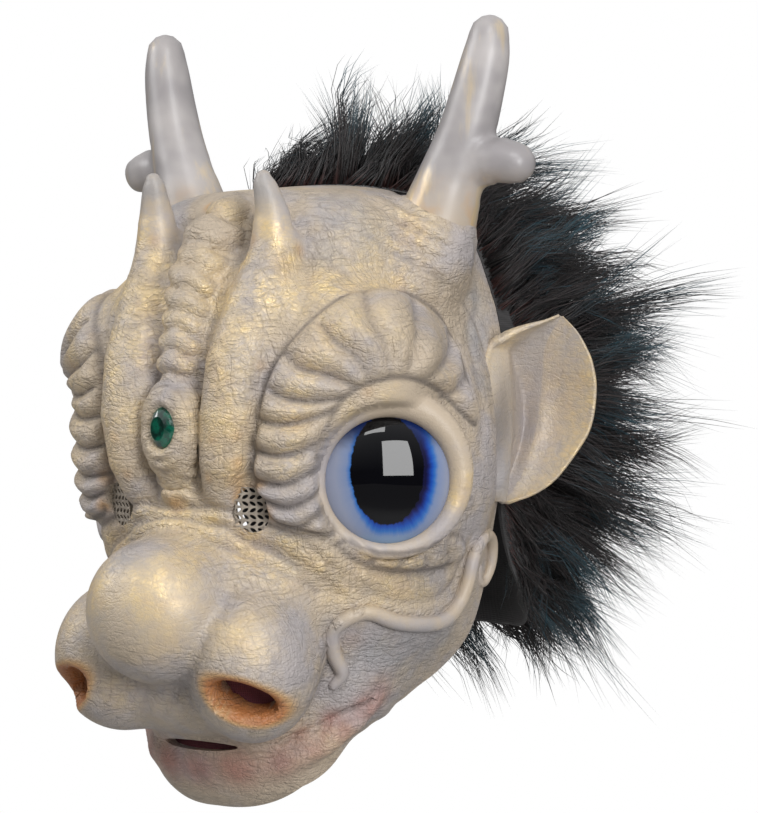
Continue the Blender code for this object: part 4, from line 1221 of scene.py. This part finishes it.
# The mane. Long-pile fake fur sewn on the hood: black-brown hair in tapering tufts, swept up
# and back on the crown and out and back at the sides, with teal tips.
PILE = [
    # from the crown edge (0) to the nape hem (1): length, how far the hair rises
    (0.0, 80, 0.45), (0.2, 98, 0.22), (0.45, 112, 0.04), (0.7, 116, -0.10), (1.0, 88, -0.16),
]
TUFTS = 760
HAIRS = 28500
HAIR_RADIUS = 0.40
SPREAD = 142.0                          # beyond this half width the hair is swept back
random = np.random.default_rng(7)


def root_places(count):
    """Roots spread over the hood, away from the ears."""
    share = random.random((count * 2, 2))
    way = directions(*lattice(share[:, 0] * 0.985 + 0.005, share[:, 1] * 0.94 + 0.03, 2, 3, 0.0, 0.6))
    keep = random.random(len(way)) < np.clip(np.hypot(way[:, 1], way[:, 2]), 0.25, 1)
    root = HUB + way * (reach_of(hood_field, way, 330, 50) + 0.2)[:, None]
    offset = folded(root) - EAR_FOOT
    beside = (offset[:, 0] > -28) & (offset @ EAR_FACING > -24)
    keep &= ~(beside & (offset[:, 2] > 4) & (offset[:, 2] < 116))
    return root[keep][:count], way[keep][:count], share[keep][:count, 0]


def unit_rows(v):
    return v / (np.linalg.norm(v, axis=-1, keepdims=True) + 1e-9)


def read(rows, share, column):
    return np.interp(share, [r[0] for r in rows], [r[column] for r in rows])


tuft_root, tuft_way, tuft_share = root_places(TUFTS)


def hair_aim(way, share):
    """Which way hair grows: up and back on the crown, more along the head at the sides, and
    hanging from the hem below the ears."""
    side = np.abs(way[:, :1])
    hang = np.clip((side - 0.45) / 0.3, 0, 1) * np.clip((share[:, None] - 0.6) / 0.3, 0, 1)
    back = np.stack([np.zeros(len(way)), np.ones(len(way)), np.zeros(len(way))], -1)
    rise = np.stack([np.zeros(len(way)), np.zeros(len(way)), read(PILE, share, 2)], -1)
    aim = way * (0.72 - 0.26 * side ** 2) + back * (0.80 + 0.1 * side ** 2) + rise
    return unit_rows(unit_rows(aim) * (1 - hang) + hang * np.array([0, 0.8, -0.6])), hang[:, 0]


tuft_aim, tuft_hang = hair_aim(tuft_way, tuft_share)
tuft_aim = unit_rows(tuft_aim + 0.10 * random.normal(size=(TUFTS, 3)))
tuft_long = read(PILE, tuft_share, 1) * random.uniform(0.72, 1.06, TUFTS) * (1 - 0.3 * tuft_hang)
tuft_bend = np.array([0, 0.12, -0.24]) + 0.2 * random.normal(size=(TUFTS, 3))
tuft_wave = 7.0 * random.normal(size=(TUFTS, 3))
tuft_phase = random.uniform(0, 2 * pi, TUFTS)
tuft_teal = np.clip(random.normal(0.35, 0.35, TUFTS), 0, 1)
tuft_tree = KDTree(TUFTS)
for index, place in enumerate(tuft_root):
    tuft_tree.insert(place, index)
tuft_tree.balance()

# one hair: a three-sided tapering blade of four rings and a tip
blade = bmesh.new()
LEVELS = [0.0, 0.28, 0.55, 0.8]
ring = bmesh.ops.create_circle(blade, segments=3, radius=1.0)["verts"]
bmesh.ops.contextual_create(blade, geom=ring)
top = list(ring)
for level in LEVELS[1:]:
    edges = [e for e in blade.edges if e.verts[0] in top and e.verts[1] in top]
    grown = bmesh.ops.extrude_edge_only(blade, edges=edges)["geom"]
    top = [g for g in grown if isinstance(g, bmesh.types.BMVert)]
    for vert in top:
        vert.co.z = level
edges = [e for e in blade.edges if e.verts[0] in top and e.verts[1] in top]
grown = bmesh.ops.extrude_edge_only(blade, edges=edges)["geom"]
top = [g for g in grown if isinstance(g, bmesh.types.BMVert)]
bmesh.ops.pointmerge(blade, verts=top, merge_co=(0, 0, 1))
bmesh.ops.recalc_face_normals(blade, faces=blade.faces)
bmesh.ops.triangulate(blade, faces=blade.faces)
blade.verts.index_update()
blade_points = np.array([v.co for v in blade.verts])
blade_faces = np.array([[v.index for v in f.verts] for f in blade.faces])
blade.free()


def hair_mesh(name, root, way, share):
    """Every hair of a patch in one mesh."""
    count = len(root)
    pick = np.array([tuft_tree.find(p)[1] for p in root])
    offset = root - tuft_root[pick]
    long = tuft_long[pick] * random.uniform(0.62, 1.06, count)
    aim = unit_rows(tuft_aim[pick] + 0.065 * random.normal(size=(count, 3)))
    bend = (tuft_bend[pick] + 0.05 * random.normal(size=(count, 3))) * long[:, None]
    gather = random.uniform(0.35, 0.95, count)
    curl = 2.2 * random.normal(size=(count, 3))
    t = blade_points[:, 2]
    rise = t[None, :, None]
    centre = (tuft_root[pick][:, None] + offset[:, None] * (1 - gather[:, None, None] * rise ** 0.8)
              + aim[:, None] * long[:, None, None] * rise + bend[:, None] * rise ** 2
              + curl[:, None] * np.sin(2.6 * pi * rise) * rise
              + tuft_wave[pick][:, None] * rise * np.sin(1.8 * pi * rise + tuft_phase[pick][:, None, None]))
    wide = np.abs(centre[..., 0])
    held = np.where(wide > SPREAD, SPREAD + 26 * np.tanh((wide - SPREAD) / 26), wide)
    centre[..., 1] += 0.8 * (wide - held)
    behind = np.maximum(centre[..., 1] - 224, 0)
    centre[..., 1] += 36 * np.tanh(behind / 36) - behind
    centre[..., 0] = np.sign(centre[..., 0]) * held
    side = unit_rows(np.cross(aim, way + 0.3 * random.normal(size=(count, 3))))
    over = unit_rows(np.cross(aim, side))
    thick = HAIR_RADIUS * random.uniform(0.7, 1.25, count)[:, None] * (1 - 0.75 * t ** 1.5)[None]
    points = (centre + side[:, None] * (thick * blade_points[:, 0])[..., None]
              + over[:, None] * (thick * blade_points[:, 1])[..., None])
    faces = (blade_faces[None] + (np.arange(count) * len(t))[:, None, None]).reshape(-1, 3)
    mesh = bpy.data.meshes.new(name)
    mesh.vertices.add(count * len(t))
    mesh.vertices.foreach_set("co", metres(points.reshape(-1, 3)).astype(np.float32).ravel())
    mesh.loops.add(faces.size)
    mesh.loops.foreach_set("vertex_index", faces.astype(np.int32).ravel())
    mesh.polygons.add(len(faces))
    mesh.polygons.foreach_set("loop_start", np.arange(0, faces.size, 3, dtype=np.int32))
    mesh.polygons.foreach_set("loop_total", np.full(len(faces), 3, np.int32))
    mesh.update()
    mesh.validate()
    mesh.shade_smooth()
    piece = bpy.data.objects.new(name, mesh)
    bpy.context.scene.collection.objects.link(piece)
    teal = np.clip(tuft_teal[pick] + 0.25 * random.normal(size=count), 0, 1)
    paint_points(piece, {"along": np.tile(t, count), "teal": np.repeat(teal, len(t)),
                         "tone": np.repeat(random.random(count), len(t))})
    return piece


def fur_finish():
    finish, surface, at = new_finish("fake_fur", Sheen_Weight=0.05, Sheen_Roughness=0.4)
    along, teal, tone = attribute(at, "along"), attribute(at, "teal"), attribute(at, "tone")
    colour = tone.between(0.3, 0.95).tint((0.006, 0.005, 0.0055), (0.022, 0.015, 0.015))
    colour = (along.between(0.25, 0.0) * tone.between(0.4, 0.9)).tint(colour, (0.05, 0.014, 0.011))
    tips = along.between(0.45, 0.95) * teal.between(0.3, 0.8)
    colour = (tips * 0.85).tint(colour, (0.02, 0.09, 0.125))
    colour = (along.between(0.8, 1.0) * tone.between(0.75, 1.0) * 0.6).tint(colour, (0.12, 0.11, 0.11))
    plug_in(surface, at, Base_Color=colour, Roughness=0.42 + tone * 0.2)
    return finish


fur = fur_finish()
all_root, all_way, all_share = root_places(HAIRS)
crown = (all_share < 0.34) & (np.abs(all_root[:, 0]) < 78)
patches = {
    "fur_crown": crown,
    "fur_left": ~crown & (all_root[:, 0] > 34),
    "fur_right": ~crown & (all_root[:, 0] < -34),
    "fur_nape": ~crown & (np.abs(all_root[:, 0]) <= 34),
}
for name, chosen in patches.items():
    piece = hair_mesh(name, all_root[chosen], all_way[chosen], all_share[chosen])
    piece.data.materials.append(fur)
    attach(piece, "root")
    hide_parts("mane")

# The room. A white sweep under and behind the mask, soft light from all round, and a large
# and a small softbox high at the front whose reflections show in the eye domes.
FLOOR = -0.85


def stage_finish():
    """Paper that is white to the camera and lights the mask's underside only a little."""
    finish, surface, at = new_finish("white_paper", Roughness=0.9, Base_Color=(0.4, 0.4, 0.4))
    nodes, links = finish.node_tree.nodes, finish.node_tree.links
    path, glow, mix = (nodes.new(kind) for kind in
                       ('ShaderNodeLightPath', 'ShaderNodeEmission', 'ShaderNodeMixShader'))
    links.new(path.outputs["Is Camera Ray"], mix.inputs[0])
    links.new(surface.outputs[0], mix.inputs[1])
    links.new(glow.outputs[0], mix.inputs[2])
    links.new(mix.outputs[0], nodes["Material Output"].inputs[0])
    return finish


sweep_body = bmesh.new()
bmesh.ops.create_grid(sweep_body, x_segments=1, y_segments=1, size=6.0)
bmesh.ops.translate(sweep_body, vec=(0, 0, FLOOR), verts=sweep_body.verts)
paper = finished("paper_floor", sweep_body)
paper.data.materials.append(stage_finish())

world = bpy.data.worlds.new("room")
world.use_nodes = True
bpy.context.scene.world = world
room = world.node_tree.nodes
path = room.new('ShaderNodeLightPath')
where = room.new('ShaderNodeTexCoord')
split = room.new('ShaderNodeSeparateXYZ')
world.node_tree.links.new(where.outputs["Generated"], split.inputs[0])


def by_height(low, high, dark, light):
    """Brightness of the room's light, from dark below to light above."""
    shade = room.new('ShaderNodeMapRange')
    world.node_tree.links.new(split.outputs["Z"], shade.inputs[0])
    for index, value in enumerate((low, high, dark, light)):
        shade.inputs[index + 1].default_value = value
    return shade.outputs[0]


seen, felt, mirror = room["Background"], room.new('ShaderNodeBackground'), room.new('ShaderNodeBackground')
seen.inputs[0].default_value = (1, 1, 1, 1)
seen.inputs[1].default_value = 1.0
felt.inputs[0].default_value = (1.0, 0.985, 0.96, 1)
world.node_tree.links.new(by_height(-0.35, 0.9, 0.25, 0.64), felt.inputs[1])
mirror.inputs[0].default_value = (0.97, 0.98, 1.0, 1)
world.node_tree.links.new(by_height(0.05, 0.75, 0.07, 0.95), mirror.inputs[1])
either, glossy = room.new('ShaderNodeMixShader'), room.new('ShaderNodeMixShader')
world.node_tree.links.new(path.outputs["Is Glossy Ray"], glossy.inputs[0])
world.node_tree.links.new(felt.outputs[0], glossy.inputs[1])
world.node_tree.links.new(mirror.outputs[0], glossy.inputs[2])
world.node_tree.links.new(path.outputs["Is Camera Ray"], either.inputs[0])
world.node_tree.links.new(glossy.outputs[0], either.inputs[1])
world.node_tree.links.new(seen.outputs[0], either.inputs[2])
world.node_tree.links.new(either.outputs[0], room["World Output"].inputs[0])


def softbox(name, pixel, wide, tall, power, distance):
    """A square light placed so that its reflection in the near eye falls on a pixel."""
    dome = (EYE_RADIUS ** 2 + EYE_DOME ** 2) / (2 * EYE_DOME)
    centre = EYE + EYE_AXIS * (EYE_DOME - dome)
    ray = ((pixel[0] - PHOTO[0] / 2) * SCALE * rightward
           + (PHOTO[1] / 2 - pixel[1]) * SCALE * upward - DISTANCE * towards)
    ray /= np.linalg.norm(ray)
    near = (centre - eye_point) @ ray
    off = np.linalg.norm(centre - eye_point - near * ray)
    hit = eye_point + ray * (near - np.sqrt(dome ** 2 - off ** 2))
    normal = (hit - centre) / dome
    bounce = ray - 2 * (ray @ normal) * normal
    light = bpy.data.lights.new(name, 'AREA')
    light.shape, light.size, light.size_y, light.energy = 'RECTANGLE', wide, tall, power
    lamp = bpy.data.objects.new(name, light)
    lamp.location = Vector(metres(hit)) + Vector(bounce) * distance
    lamp.rotation_mode = 'QUATERNION'
    lamp.rotation_quaternion = Vector(bounce).to_track_quat('Z', 'Y')
    bpy.context.scene.collection.objects.link(lamp)
    return lamp


softbox("key_softbox", (395, 465), 0.56, 0.74, 19.0, 1.6)
softbox("small_softbox", (376, 434), 0.54, 0.46, 10.0, 1.7)
FILL_AT, FILL_TO = Vector((-1.5, -1.2, 1.0)), Vector((0.0, -0.1, -0.1))
fill = bpy.data.lights.new("front_fill", 'AREA')
fill.shape, fill.size, fill.size_y, fill.energy = 'RECTANGLE', 1.2, 0.9, 20.0
lamp = bpy.data.objects.new("front_fill", fill)
lamp.location = FILL_AT
lamp.rotation_mode = 'QUATERNION'
lamp.rotation_quaternion = (FILL_AT - FILL_TO).to_track_quat('Z', 'Y')
bpy.context.scene.collection.objects.link(lamp)
bpy.context.scene.view_settings.view_transform = 'Standard'
